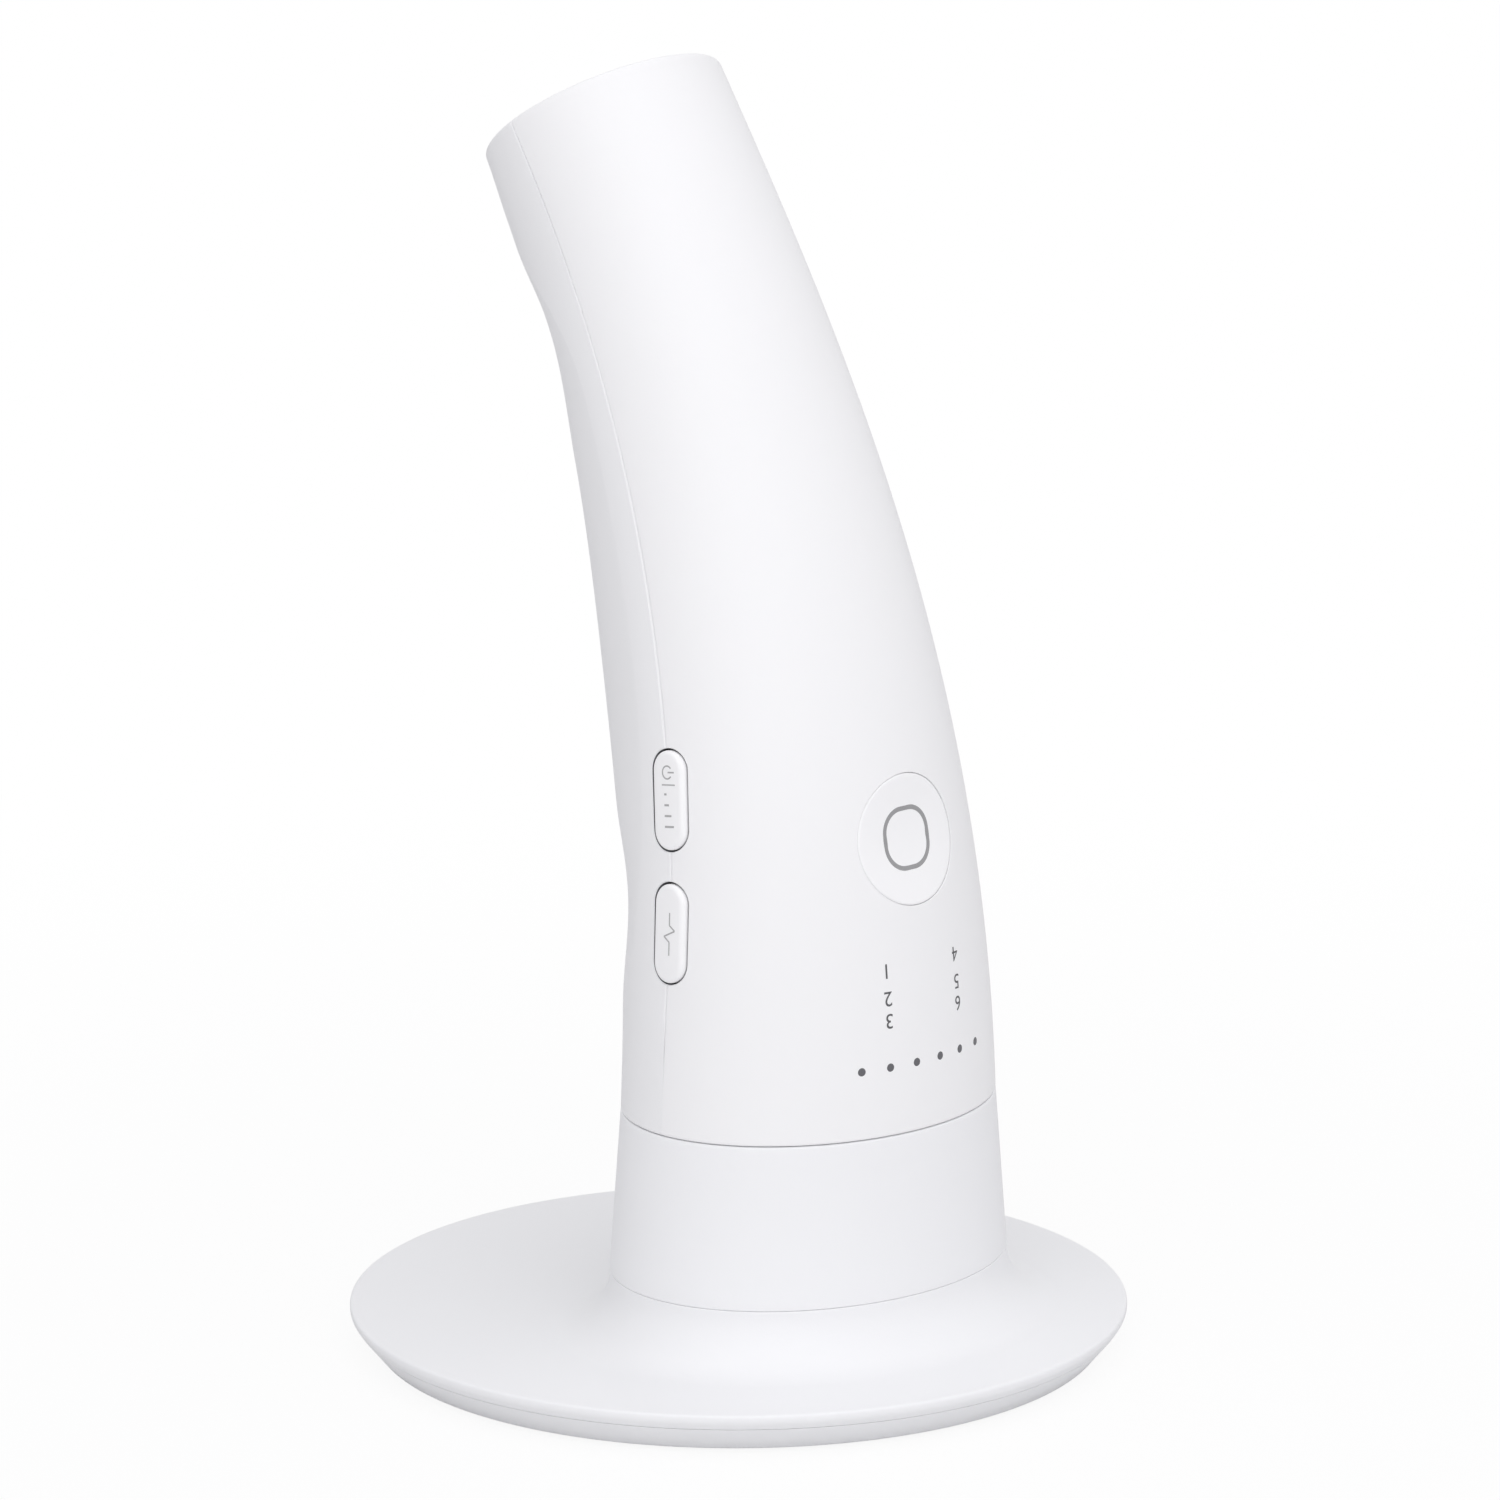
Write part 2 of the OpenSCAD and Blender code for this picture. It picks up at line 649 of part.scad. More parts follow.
chassis_from = 0.135;
chassis_to = 0.86;
chassis_rings = 18;
function chassis_half(u) = 0.88 * (half_w(u) - wall);
function chassis_ring(u) = let(h = chassis_half(u), q = chassis_q - chassis_t)
    [at(u, -h, q), at(u, h, q), at(u, h, chassis_q), at(u, -h, chassis_q)];
module chassis() {
    color(mark_grey) difference() {
        loft_solid([for (i = [0:chassis_rings])
            chassis_ring(mix(chassis_from, chassis_to, i / chassis_rings))]);
        for (x = [-1, 1]) inside(post_low) translate([x * post_x, 0, 0]) rotate([90, 0, 0])
            cylinder(r = 1.25, h = 12);
        inside(post_high) rotate([90, 0, 0]) cylinder(r = 1.25, h = 12);
    }
}

module chassis_screws() {
    color(steel) {
        for (x = [-1, 1]) inside(post_low) translate([x * post_x, chassis_q + 1.4, 0]) rotate([90, 0, 0])
            screw(2, 1.25, 1, 6);
        inside(post_high) translate([0, chassis_q + 1.4, 0]) rotate([90, 0, 0]) screw(2, 1.25, 1, 6);
    }
}

board_at = 0.43;
board_q = chassis_q - chassis_t - 0.1;
module main_board() {
    inside(board_at) translate([0, board_q, 0]) rotate([90, 0, 0]) {
        color(board_green) slab(32, 66, 1.6);
        color(part_black) for (i = [0:3]) translate([-9 + 6 * i, 9, 1.6 - eps]) slab(4.4, 8, 1.4);
        color(part_black) translate([8, 25, 1.6 - eps]) slab(9, 9, 2.6);
    }
}

module transformer() {
    inside(board_at) translate([-4.5, board_q - 1.65, 21]) rotate([90, 0, 0]) {
        color(part_black) slab(12, 10, 5.4);
        color(copper) translate([0, 0, 1]) slab(9, 11.6, 3.4);
    }
}

capacitor_at = 0.56;
capacitor_r = 11;
module capacitor() {
    color(sleeve_blue) inside(capacitor_at) translate([0, chassis_q + 1.1 + capacitor_r, 0]) difference() {
        translate([0, 0, -20]) cylinder(r = capacitor_r, h = 40);
        translate([0, 0, 15]) rotate_extrude() translate([capacitor_r + 0.3, 0]) circle(1.1, $fn = 24);
        for (i = [0:2]) rotate(120 * i) translate([0, -0.4, 19.5]) cube([8, 0.8, 1]);
    }
}

module led_board() {
    color(board_green) inside(lights_at) translate([0, -16.2, 0]) rotate([90, 0, 0]) slab(28, 6, 1.1);
}

// six pins on one clear bar
module light_guide() {
    color(clear_glass) inside(lights_at) {
        translate([-13.6, -19.2, -1.4]) cube([27.2, 1.8, 2.8]);
        for (i = [0:light_count - 1]) translate([light_x(i), -19, 0]) rotate([90, 0, 0])
            cylinder(r = 0.64, h = -front_q(lights_at, light_x(i), 0.1) - 19);
    }
}

// Buttons and what they press

flash_stack = 5.4;      // depth of the flash button's flange below the surface
flash_gap = flash_travel + 0.2;    // room between button and plunger at rest
side_stack = 4.4;
side_gap = side_travel + 0.15;
flash_board_z = -(flash_stack + 0.6 + flash_gap + switch_plunger + switch_body + 1.2);
side_board_z = -(side_stack + side_gap + switch_plunger + switch_body + 1.2);
side_mid = (power_at + ems_at) / 2;
side_shift = (power_at - ems_at) / 2 * body_len;

// how far the flash button's face lies below the body's curve
function dish(u, angle) =
    let(x = half_w(u) * cos(angle), y = (u - flash_at) * body_len, r = flash_button_d / 2)
    flash_dish * pow(max(0, 1 - (x * x + y * y) / (r * r)), 1.2);

// local piece of the dished front surface, as thick as t
module dished_patch(reach_u, half_angle, t) {
    rows = 14;
    columns = 16;
    loft_strip([for (i = [0:rows]) let(u = flash_at + mix(-reach_u, reach_u, i / rows))
        strip_ring([for (j = [0:columns]) let(a = 90 + mix(half_angle, -half_angle, j / columns))
            front_point(u, a, dish(u, a))],
            [for (j = [0:columns]) front_point(u, 90 + mix(half_angle, -half_angle, j / columns), t)])]);
}

module flash_button() {
    color(shell_white) difference() {
        union() {
            intersection() {
                dished_patch(0.08, 27, 6.2);
                on_skin(flash_at, 90) translate([0, 0, -4.4]) cylinder(r = flash_button_d / 2, h = 5);
            }
            on_skin(flash_at, 90) translate([0, 0, -flash_stack])
                cylinder(r = flash_button_d / 2 + 0.9, h = 1.2);
            on_skin(flash_at, 90) translate([0, 0, -flash_stack - 0.6]) cylinder(r = 2, h = 1);
        }
        on_skin(flash_at, 90) translate([0, 0, -ring_depth]) linear_extrude(3) icon_ring(0.05);
    }
}

// the rounded-square ring set into the flash button's face
ring_depth = 0.8 + flash_dish;
module icon_ring(grow) {
    difference() {
        rounded_rect(9.4 + 2 * grow, 9.4 + 2 * grow, 3.9 + grow);
        rounded_rect(8.1 - 2 * grow, 8.1 - 2 * grow, 3.25 - grow);
    }
}

module button_ring() {
    color(mark_grey) intersection() {
        dished_patch(0.05, 14, 3);
        on_skin(flash_at, 90) translate([0, 0, 0.05 - ring_depth]) linear_extrude(3) icon_ring(0);
    }
}

// half of a side button's section: straight wall, rounded edge, then a soft dome
key_top = 0.62;      // height of the middle over the body's curve
key_edge = 0.9;      // radius of the rounded edge
key_dome = 0.13;     // rise of the face from its edge to its middle
key_steps = 5;
function key_half(r) = concat([[0, -3.2], [r, -3.2]],
    [for (i = [0:key_steps]) let(a = 90 * i / key_steps)
        [r - key_edge * (1 - cos(a)), key_top - key_dome - key_edge * (1 - sin(a))]],
    [for (t = [0.75, 0.5, 0.2, 0]) [t * (r - key_edge), key_top - key_dome * t * t]]);

module side_button(u) {
    r = side_button_w / 2;
    straight = side_button_l - side_button_w;
    color(shell_white) on_side(u) {
        for (s = [-1, 1]) translate([0, s * straight / 2, 0]) rotate_extrude() polygon(key_half(r));
        rotate([90, 0, 0]) linear_extrude(straight, center = true) {
            polygon(key_half(r));
            mirror([1, 0]) polygon(key_half(r));
        }
        translate([0, 0, -side_stack]) cylinder(r = 1.6, h = 1.4);
    }
}

module power_button() { side_button(power_at); }

module ems_button() { side_button(ems_at); }

module flash_board() {
    color(board_green) on_skin(flash_at, 90) translate([0, 0, flash_board_z]) slab(24, 20, 1.15);
}

module flash_switch() {
    color(part_black) on_skin(flash_at, 90) translate([0, 0, flash_board_z + 1.2]) push_switch();
}

module on_side_board(y) {
    on_side(side_mid) translate([0, y, side_board_z]) children();
}

module side_board() {
    color(board_green) on_side_board(0) slab(7.2, 28, 1.15);
}

module power_switch() {
    color(part_black) on_side_board(side_shift) translate([0, 0, 1.2]) push_switch();
}

module ems_switch() {
    color(part_black) on_side_board(-side_shift) translate([0, 0, 1.2]) push_switch();
}

base_shell();
bottom_cover();
weight_plate();
rubber_feet();
stand_screws();
socket_liner();
head_cap();
cap_lens();
ems_electrodes();
skin_sensors();
cap_magnets();
front_shell();
rear_shell();
tail_cap();
lamp_housing();
magnet_plates();
filter_glass();
reflector();
flash_lamp();
lamp_holders();
heat_sink();
fan_frame();
fan_screws();
fan_rotor();
head_screws();
chassis();
chassis_screws();
main_board();
capacitor();
transformer();
led_board();
light_guide();
flash_board();
flash_switch();
side_board();
power_switch();
ems_switch();
dc_jack();
flash_button();
button_ring();
power_button();
ems_button();
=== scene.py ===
import json
import math

import bmesh
import bpy
import numpy as np
from mathutils import Matrix, Vector


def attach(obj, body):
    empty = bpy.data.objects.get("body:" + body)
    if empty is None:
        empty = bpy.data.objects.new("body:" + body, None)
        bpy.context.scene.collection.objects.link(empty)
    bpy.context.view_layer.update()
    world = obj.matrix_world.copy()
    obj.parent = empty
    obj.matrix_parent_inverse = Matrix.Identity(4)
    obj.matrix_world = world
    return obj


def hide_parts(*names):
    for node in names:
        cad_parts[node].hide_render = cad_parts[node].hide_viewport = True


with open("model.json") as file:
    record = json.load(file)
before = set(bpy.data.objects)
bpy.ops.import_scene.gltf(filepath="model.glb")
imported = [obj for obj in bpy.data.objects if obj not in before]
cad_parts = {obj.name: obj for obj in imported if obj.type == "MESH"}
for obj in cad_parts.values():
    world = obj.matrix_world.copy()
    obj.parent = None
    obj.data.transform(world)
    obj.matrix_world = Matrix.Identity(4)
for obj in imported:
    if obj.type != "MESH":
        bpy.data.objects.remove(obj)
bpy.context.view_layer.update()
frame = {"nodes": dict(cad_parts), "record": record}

bl_info = {
    "name": "Light-based epilator",
    "version": (1, 0, 0),
    "blender": (4, 5, 0),
    "location": "3D View > Sidebar > Epilator",
    "description": "A light-based epilator that stands head down in a round stand",
    "category": "Object",
}

MM = 0.001


# Sizes and colours

def setting(name, value, description, **options):
    return bpy.props.FloatProperty(name=name, default=value, description=description, **options)


def length(name, millimetres, description):
    return setting(name, millimetres * MM, description, subtype="DISTANCE", unit="LENGTH", precision=5)


def degrees(name, value, description):
    return setting(name, math.radians(value), description, subtype="ANGLE", unit="ROTATION")


def share(name, value, description):
    return setting(name, value, description, min=0, max=1, subtype="FACTOR")


def watts(name, value, description):
    return setting(name, value, description, unit="POWER")


def vector(name, value, description, **options):
    return bpy.props.FloatVectorProperty(name=name, default=value, description=description, size=3, **options)


def colour(name, value, description):
    return vector(name, value, description, min=0, max=1, subtype="COLOR")


class StandSettings(bpy.types.PropertyGroup):
    """Sizes of the round stand."""
    disc_diameter: length("Disc diameter", 120, "Widest diameter of the disc")
    foot_diameter: length("Foot diameter", 111, "Diameter where the chamfered underside meets the table")
    rim_height: length("Rim height", 6, "Height of the widest line of the rim")
    plate_height: length("Plate height", 7.6, "Height of the disc's upper face beside the neck")
    neck_top: length("Neck top", 16.7, "Height of the neck's top edge")
    neck_width: length("Neck width", 67, "Width of the neck's top edge")
    neck_depth: length("Neck depth", 53.7, "Depth of the neck's top edge")
    neck_forward: length("Neck forward", 15.3, "How far the neck stands in front of the disc's middle")
    neck_fillet: length("Neck fillet", 8.6, "Radius of the fillet between neck and disc")
    lip: length("Lip", 2.3, "Wall between the neck's outside and its socket")
    socket_floor: length("Socket floor", 6.2, "Height of the socket's floor")


class HandsetSettings(bpy.types.PropertyGroup):
    """Sizes of the handset and its head cap."""
    seam_height: length("Seam height", 41.6, "Height of the seam between head cap and handset")
    seam_width: length("Seam width", 62.8, "Width of the body at that seam")
    seam_depth: length("Seam depth", 50.6, "Depth of the body at that seam")
    body_length: length("Body length", 155, "Length of the body's curved middle line")
    lean: degrees("Lean", 31.5, "Lean of the body's far end from upright")
    wall: length("Wall", 2.2, "Wall of the moulded shells")
    palm_swell: length("Palm swell", 3.7, "How much deeper than the front the palm side swells")
    hollow_low: length("Lower hollow", 3.1, "Depth of the finger hollow near the head")
    hollow_high: length("Upper hollow", 2.1, "Depth of the finger hollow near the tail")
    seam_gap: length("Seam gap", 0.14, "Gap that shows between head cap and handset")
    parting_gap: length("Parting gap", 0.01, "Gap that shows between the two halves of the housing")
    button_gap: length("Button gap", 0.2, "Gap round the side buttons")
    flash_gap: length("Flash button gap", 0.05, "Gap that shows round the flash button")
    flash_diameter: length("Flash button", 19.7, "Diameter of the round flash button")
    flash_dish: length("Flash dish", 1.0, "How far the flash button's middle lies below the body's curve")
    side_width: length("Side button width", 6.4, "Width of a side button")
    side_length: length("Side button length", 15, "Length of a side button")
    light_count: bpy.props.IntProperty(name="Status lights", default=6, min=1,
                                       description="Number of status lights")
    light_pitch: length("Light pitch", 5, "Spacing of the status lights")


class FinishSettings(bpy.types.PropertyGroup):
    """Colours and gloss of the moulded parts."""
    body_white: colour("Body white", (0.92, 0.92, 0.925), "Moulding of the handset's front")
    # painted shade: the palm half is a little greyer than the front, for the shade on that side, which faces
    # away from the light
    palm_shaded_white: colour("Palm white", (0.9, 0.902, 0.91), "Slightly greyer moulding of the palm side")
    stand_white: colour("Stand white", (0.9, 0.904, 0.915), "Cooler moulding of the stand and the head cap")
    mark_grey: colour("Mark grey", (0.32, 0.32, 0.325), "Print of the ring on the flash button")
    gloss: share("Roughness", 0.45, "Roughness of the white mouldings")


class StageSettings(bpy.types.PropertyGroup):
    """Floor, lights and camera."""
    front_power: watts("Front light", 4.3, "Power of the soft light in front")
    top_power: watts("Top light", 4.2, "Power of the soft light above")
    ambient: share("Ambient", 0.57, "Strength of the even light from all round")
    ambient_lean: vector("Ambient lean", (-0.14, -0.28, 0.18),
                         "How much stronger that light is towards each axis")
    floor_tone: share("Floor tone", 0.8, "Grey of the floor, for the light that it gives back")
    floor_white: share("Floor white", 0.9, "How white the camera sees the floor in the object's shadow")
    camera_distance: length("Camera distance", 1023, "From the camera to the object's middle")
    camera_azimuth: degrees("Camera azimuth", -45.114, "Turn of the view round the object")
    camera_elevation: degrees("Camera elevation", 12.73, "Angle of the view above the table")
    camera_roll: degrees("Camera roll", -0.135, "Small turn of the picture")
    camera_lens: setting("Lens", 161.81, "Focal length on a 36 mm frame", unit="CAMERA")


def settings_of(name):
    return getattr(bpy.context.scene, "epilator_" + name)


# Node building

def maths(operation, reflected=False):
    """An operator of Value that adds a Math node; a reflected one puts the value second."""
    def apply(self, *others):
        values = (*others, self) if reflected else (self, *others)
        return self.graph.node("ShaderNodeMath", {"operation": operation}, dict(enumerate(values)))[0]
    return apply


class Value:
    """A number on a node's socket, with Python's operators."""

    def __init__(self, graph, socket):
        self.graph = graph
        self.socket = socket

    __add__, __radd__ = maths("ADD"), maths("ADD", True)
    __sub__, __rsub__ = maths("SUBTRACT"), maths("SUBTRACT", True)
    __mul__, __rmul__ = maths("MULTIPLY"), maths("MULTIPLY", True)
    __truediv__, __rtruediv__ = maths("DIVIDE"), maths("DIVIDE", True)
    __pow__, __rpow__ = maths("POWER"), maths("POWER", True)
    __lt__, __gt__ = maths("LESS_THAN"), maths("GREATER_THAN")
    __abs__, sign, round = maths("ABSOLUTE"), maths("SIGN"), maths("ROUND")
    sin, cos = maths("SINE"), maths("COSINE")


class Graph:
    """Adds nodes to a node tree: one call makes a node, sets it and links it."""

    def __init__(self, tree):
        self.tree = tree
        tree.nodes.clear()

    def node(self, kind, settings=None, inputs=None):
        made = self.tree.nodes.new(kind)
        for name, value in (settings or {}).items():
            setattr(made, name, value)
        for key, value in (inputs or {}).items():
            if isinstance(value, Value):
                self.tree.links.new(value.socket, made.inputs[key])
            else:
                made.inputs[key].default_value = value
        return [Value(self, socket) for socket in made.outputs]

    def output(self, name, kind, settings=None, inputs=None):
        """The output of a new node that has this name and is in use with these settings."""
        made = self.node(kind, settings, inputs)
        return next(v for v in made if v.socket.name == name and v.socket.enabled)

    def point(self, *places):
        """A vector of up to three numbers."""
        return self.node("ShaderNodeCombineXYZ", None, dict(enumerate(places)))[0]

    def mix(self, factor, low, high):
        """Between two colours, by a number."""
        colours = {0: factor, 6: (*low, 1), 7: (*high, 1)}
        return self.output("Result", "ShaderNodeMix", {"data_type": "RGBA"}, colours)


def open_tree(name, made, sockets):
    """A new tree that makes geometry, with named inputs, and those inputs as values."""
    tree = bpy.data.node_groups.new(name, "GeometryNodeTree")
    for socket, kind in sockets.items():
        tree.interface.new_socket(socket, in_out="INPUT", socket_type="NodeSocket" + kind)
    tree.interface.new_socket(made, in_out="OUTPUT", socket_type="NodeSocketGeometry")
    g = Graph(tree)
    return g, g.node("NodeGroupInput")[:len(sockets)]


def close_tree(g, geometry, finish):
    """Ends a tree with real geometry that has its finish."""
    whole = g.node("GeometryNodeRealizeInstances", None, {"Geometry": geometry})[0]
    dressed = g.node("GeometryNodeSetMaterial", None, {"Geometry": whole, "Material": finish})[0]
    g.node("NodeGroupOutput", None, {0: dressed})
    return g.tree


def run_tree(made, tree, inputs):
    """The plain mesh that a tree with these inputs makes of an object."""
    modifier = made.modifiers.new(tree.name, "NODES")
    modifier.node_group = tree
    for item in tree.interface.items_tree:
        if item.in_out == "INPUT" and item.name in inputs:
            modifier[item.identifier] = inputs[item.name]
    return evaluated(made)


# Finishes

class Finish:
    """A material being built: object coordinates in, one Principled shader out."""

    def __init__(self, name):
        self.material = bpy.data.materials.new(name)
        self.material.use_nodes = True
        self.graph = Graph(self.material.node_tree)
        self.place = self.graph.output("Object", "ShaderNodeTexCoord")

    def noise(self, scale, detail, rough=0.5, stretch=None):
        place = self.place
        if stretch:
            place = self.graph.node("ShaderNodeMapping", None, {"Vector": place, "Scale": stretch})[0]
        inputs = {"Vector": place, "Scale": scale, "Detail": detail, "Roughness": rough}
        return self.graph.node("ShaderNodeTexNoise", None, inputs)[0]

    def bump(self, height, depth):
        return self.graph.node("ShaderNodeBump", None, {"Height": height, "Distance": depth})[0]

    def shades(self, factor, shade, low, high):
        """A colour between two tones of a shade."""
        return self.graph.mix(factor, tone(shade, low), tone(shade, high))

    def done(self, **inputs):
        named = {k.replace("_", " "): v for k, v in inputs.items()}
        shader = self.graph.node("ShaderNodeBsdfPrincipled", None, named)[0]
        self.graph.node("ShaderNodeOutputMaterial", None, {"Surface": shader})
        return self.material


def tone(shade, factor):
    return tuple(min(1.0, c * factor) for c in shade)


def moulding(name, shade, gloss, grain=1.0):
    """Smooth injection-moulded plastic with a very fine spark-eroded grain and faint flow shading."""
    f = Finish(name)
    flow, fine = f.noise(18, 2), f.noise(2600, 2, 0.6)
    return f.done(Base_Color=f.shades(flow, shade, 0.985, 1.01), Roughness=gloss - 0.03 + flow * 0.06,
                  Normal=f.bump(fine, 0.012 * MM * grain), IOR=1.49, Specular_IOR_Level=0.5)


def textured(name, shade, noise, tones, rough, spread, depth=0, **inputs):
    """A finish whose colour, gloss and relief follow one noise; the relief's depth is in millimetres."""
    f = Finish(name)
    speck = f.noise(*noise)
    if depth:
        inputs["Normal"] = f.bump(speck, depth * MM)
    return f.done(Base_Color=f.shades(speck, shade, *tones), Roughness=rough + speck * spread, **inputs)


def printed(name, shade):
    return textured(name, shade, noise=(5000, 2), tones=(0.9, 1.12), rough=0.4, spread=0.1)


def rubber(name, shade):
    return textured(name, shade, noise=(1500, 4, 0.7), tones=(0.8, 1.2), rough=0.75, spread=0.15, depth=0.04)


def brushed(name, shade, rough, stretch):
    """Metal with a fine drawn grain."""
    return textured(name, shade, noise=(900, 3, 0.6, stretch), tones=(0.9, 1.06), rough=rough - 0.06,
                    spread=0.12, depth=0.006, Metallic=1.0)


def clear(name, shade, rough):
    """Clear moulded or ground part, lightly uneven."""
    return textured(name, shade, noise=(160, 2), tones=(0.97, 1.0), rough=rough, spread=0.03, depth=0.01,
                    IOR=1.5, Transmission_Weight=0.85)


def sleeve(name, shade):
    """Shrunk sleeve with faint rings."""
    return textured(name, shade, noise=(700, 2, 0.5, (0.1, 0.1, 1)), tones=(0.85, 1.3), rough=0.32,
                    spread=0.1, depth=0.02)


def circuit(name):
    """Green board with darker copper runs under the lacquer and a fine weave."""
    f = Finish(name)
    cells = f.graph.node("ShaderNodeTexVoronoi", {"feature": "DISTANCE_TO_EDGE"},
                         {"Vector": f.place, "Scale": 420})[0]
    runs, weave = cells < 0.09, f.noise(4000, 2)
    return f.done(Base_Color=f.graph.mix(runs, (0.02, 0.16, 0.07), (0.05, 0.3, 0.13)),
                  Roughness=0.3 + weave * 0.15, Normal=f.bump(runs, 0.02 * MM), Coat_Weight=0.4)


finishes = {}


def make_finishes():
    s = settings_of("finish")
    finishes.update(
        body_plastic=moulding("body_moulding", s.body_white, s.gloss),
        # painted shade: the palm half's moulding is the front's in a greyer tone, for the shade on that side
        palm_plastic=moulding("palm_shaded_moulding", s.palm_shaded_white, s.gloss),
        stand_plastic=moulding("stand_moulding", s.stand_white, s.gloss),
        # partly painted light: the keys' moulding is a little lighter than the body's, partly to make up for
        # the shade on their tilted faces
        button_plastic=moulding("button_moulding_partly_painted_light", tone(s.body_white, 1.035), s.gloss - 0.03, 0.6),
        mark_grey=moulding("grey_moulding", (0.42, 0.43, 0.45), 0.45),
        printed_grey=printed("printed_grey", s.mark_grey),
        pale_print=printed("pale_print", (0.42, 0.42, 0.42)),
        dark_print=printed("dark_print", (0.1, 0.1, 0.105)),
        # painted shade: dark grey for the walls of the side buttons' openings, where the gap lies in shade
        gap_shade=moulding("gap_shade", (0.16, 0.16, 0.175), 0.6),
        light_window=moulding("smoked_window", (0.13, 0.13, 0.14), 0.25, 0.3),
        liner=rubber("soft_liner", (0.30, 0.30, 0.32)),
        rubber=rubber("dark_rubber", (0.07, 0.07, 0.075)),
        steel=brushed("plated_steel", (0.62, 0.63, 0.65), 0.32, (1, 0.05, 0.2)),
        chrome=brushed("polished_plate", (0.86, 0.87, 0.89), 0.12, (0.1, 1, 1)),
        aluminium=brushed("bright_aluminium", (0.80, 0.81, 0.83), 0.25, (0.06, 1, 1)),
        clear=clear("clear_window", (0.92, 0.95, 0.98), 0.05),
        amber_glass=clear("amber_filter", (0.90, 0.55, 0.28), 0.04),
        board=circuit("circuit_board"),
        black_plastic=moulding("black_moulding", (0.03, 0.03, 0.034), 0.42, 2.0),
        capacitor_sleeve=sleeve("capacitor_sleeve", (0.05, 0.07, 0.16)))


# Meshes

def linked(name, data):
    """A new object in the scene."""
    made = bpy.data.objects.new(name, data)
    bpy.context.scene.collection.objects.link(made)
    return made


def plain_mesh(points, faces):
    """A mesh of points in metres and faces."""
    mesh = bpy.data.meshes.new("plain")
    mesh.from_pydata([tuple(map(float, p)) for p in points], [], [tuple(map(int, f)) for f in faces])
    return tidied(mesh)


def tidied(mesh):
    """The mesh with its doubles merged and its faces pointing outwards."""
    b = bmesh.new()
    b.from_mesh(mesh)
    bmesh.ops.remove_doubles(b, verts=b.verts, dist=1e-7)
    bmesh.ops.recalc_face_normals(b, faces=b.faces)
    b.to_mesh(mesh)
    b.free()
    return mesh


def finish_piece(name, mesh, finish, body, nodes=(), sharp=35):
    """A finished piece that rides on its body; edges sharper than so many degrees stay sharp."""
    mesh.name = name
    mesh.materials.clear()
    mesh.materials.append(finishes[finish])
    mesh.polygons.foreach_set("use_smooth", [True] * len(mesh.polygons))
    if sharp:
        mesh.set_sharp_from_angle(angle=math.radians(sharp))
    piece = linked(name, mesh)
    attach(piece, body)
    if nodes:
        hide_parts(*nodes)


def evaluated(made):
    """The object's mesh with its modifiers, as a plain mesh; the object is then removed."""
    bpy.context.view_layer.update()
    graph = bpy.context.evaluated_depsgraph_get()
    mesh = bpy.data.meshes.new_from_object(made.evaluated_get(graph))
    made.modifiers.clear()
    bpy.data.objects.remove(made)
    return mesh


def cut(mesh, cutters):
    """Cuts closed meshes out of a closed one."""
    made = linked("blank", mesh)
    cutters = [linked("cutter", cutter) for cutter in cutters]
    for cutter in cutters:
        m = made.modifiers.new("cut", "BOOLEAN")
        m.object = cutter
        m.operation = "DIFFERENCE"
        m.solver = "MANIFOLD"
    result = evaluated(made)
    for cutter in cutters:
        bpy.data.objects.remove(cutter)
    return result


def move_points(mesh, move):
    where = np.empty(len(mesh.vertices) * 3)
    mesh.vertices.foreach_get("co", where)
    mesh.vertices.foreach_set("co", move(where.reshape(-1, 3)).ravel())


def sides(rows, ring, closed=False):
    """The quads between neighbouring rows of points, and where closed from the last to the first."""
    i, j = np.meshgrid(np.arange(rows if closed else rows - 1), np.arange(ring), indexing="ij")
    here, above, beside = i * ring, (i + 1) % rows * ring, (j + 1) % ring
    return np.stack([here + j, here + beside, above + beside, above + j], -1).reshape(-1, 4)


def stacked(rows):
    """Points and faces of a closed solid through rows of as many points each."""
    n, ring = len(rows), len(rows[0])
    ends = [range(ring)[::-1], range((n - 1) * ring, n * ring)]
    return np.concatenate(rows), [*sides(n, ring), *ends]


def level(outline, z):
    """An outline's points at a height, or at one height each."""
    outline = np.asarray(outline)
    return np.column_stack([outline, np.broadcast_to(z, len(outline))])


def prism(outline, low, high):
    return stacked([level(outline, low), level(outline, high)])


def circle(radius, steps):
    turn = np.arange(steps) * 2 * math.pi / steps
    return radius * np.column_stack([np.cos(turn), np.sin(turn)])


def stadium(width, height, steps=48):
    """A closed outline with round ends, its long side along y."""
    r, h = width / 2, max(0.0, (height - width) / 2)
    arc = np.arange(steps + 1) * math.pi / steps
    top = np.column_stack([r * np.cos(arc), h + r * np.sin(arc)])
    return np.concatenate([top, -top])


def rounded_square(side, radius, steps=16):
    c = side / 2 - radius
    outline = []
    for quarter, (x, y) in enumerate([(c, c), (-c, c), (-c, -c), (c, -c)]):
        for i in range(steps + 1):
            t = math.pi / 2 * (quarter + i / steps)
            outline.append((x + radius * math.cos(t), y + radius * math.sin(t)))
    return np.array(outline)


# The leaning housing

def ease(t):
    t = np.clip(t, 0, 1)
    return t * t * (3 - 2 * t)


def hump(u, middle, below, above):
    """Rises smoothly from 0 to 1 at its middle and falls again, over so much below and above it."""
    t = (u - middle) / np.where(u < middle, below, above)
    return np.where(abs(t) < 1, (1 + np.cos(math.pi * t)) / 2, 0)


def cubic(u, start, first, second, third):
    return start + first * u + second * u * u + third * u ** 3


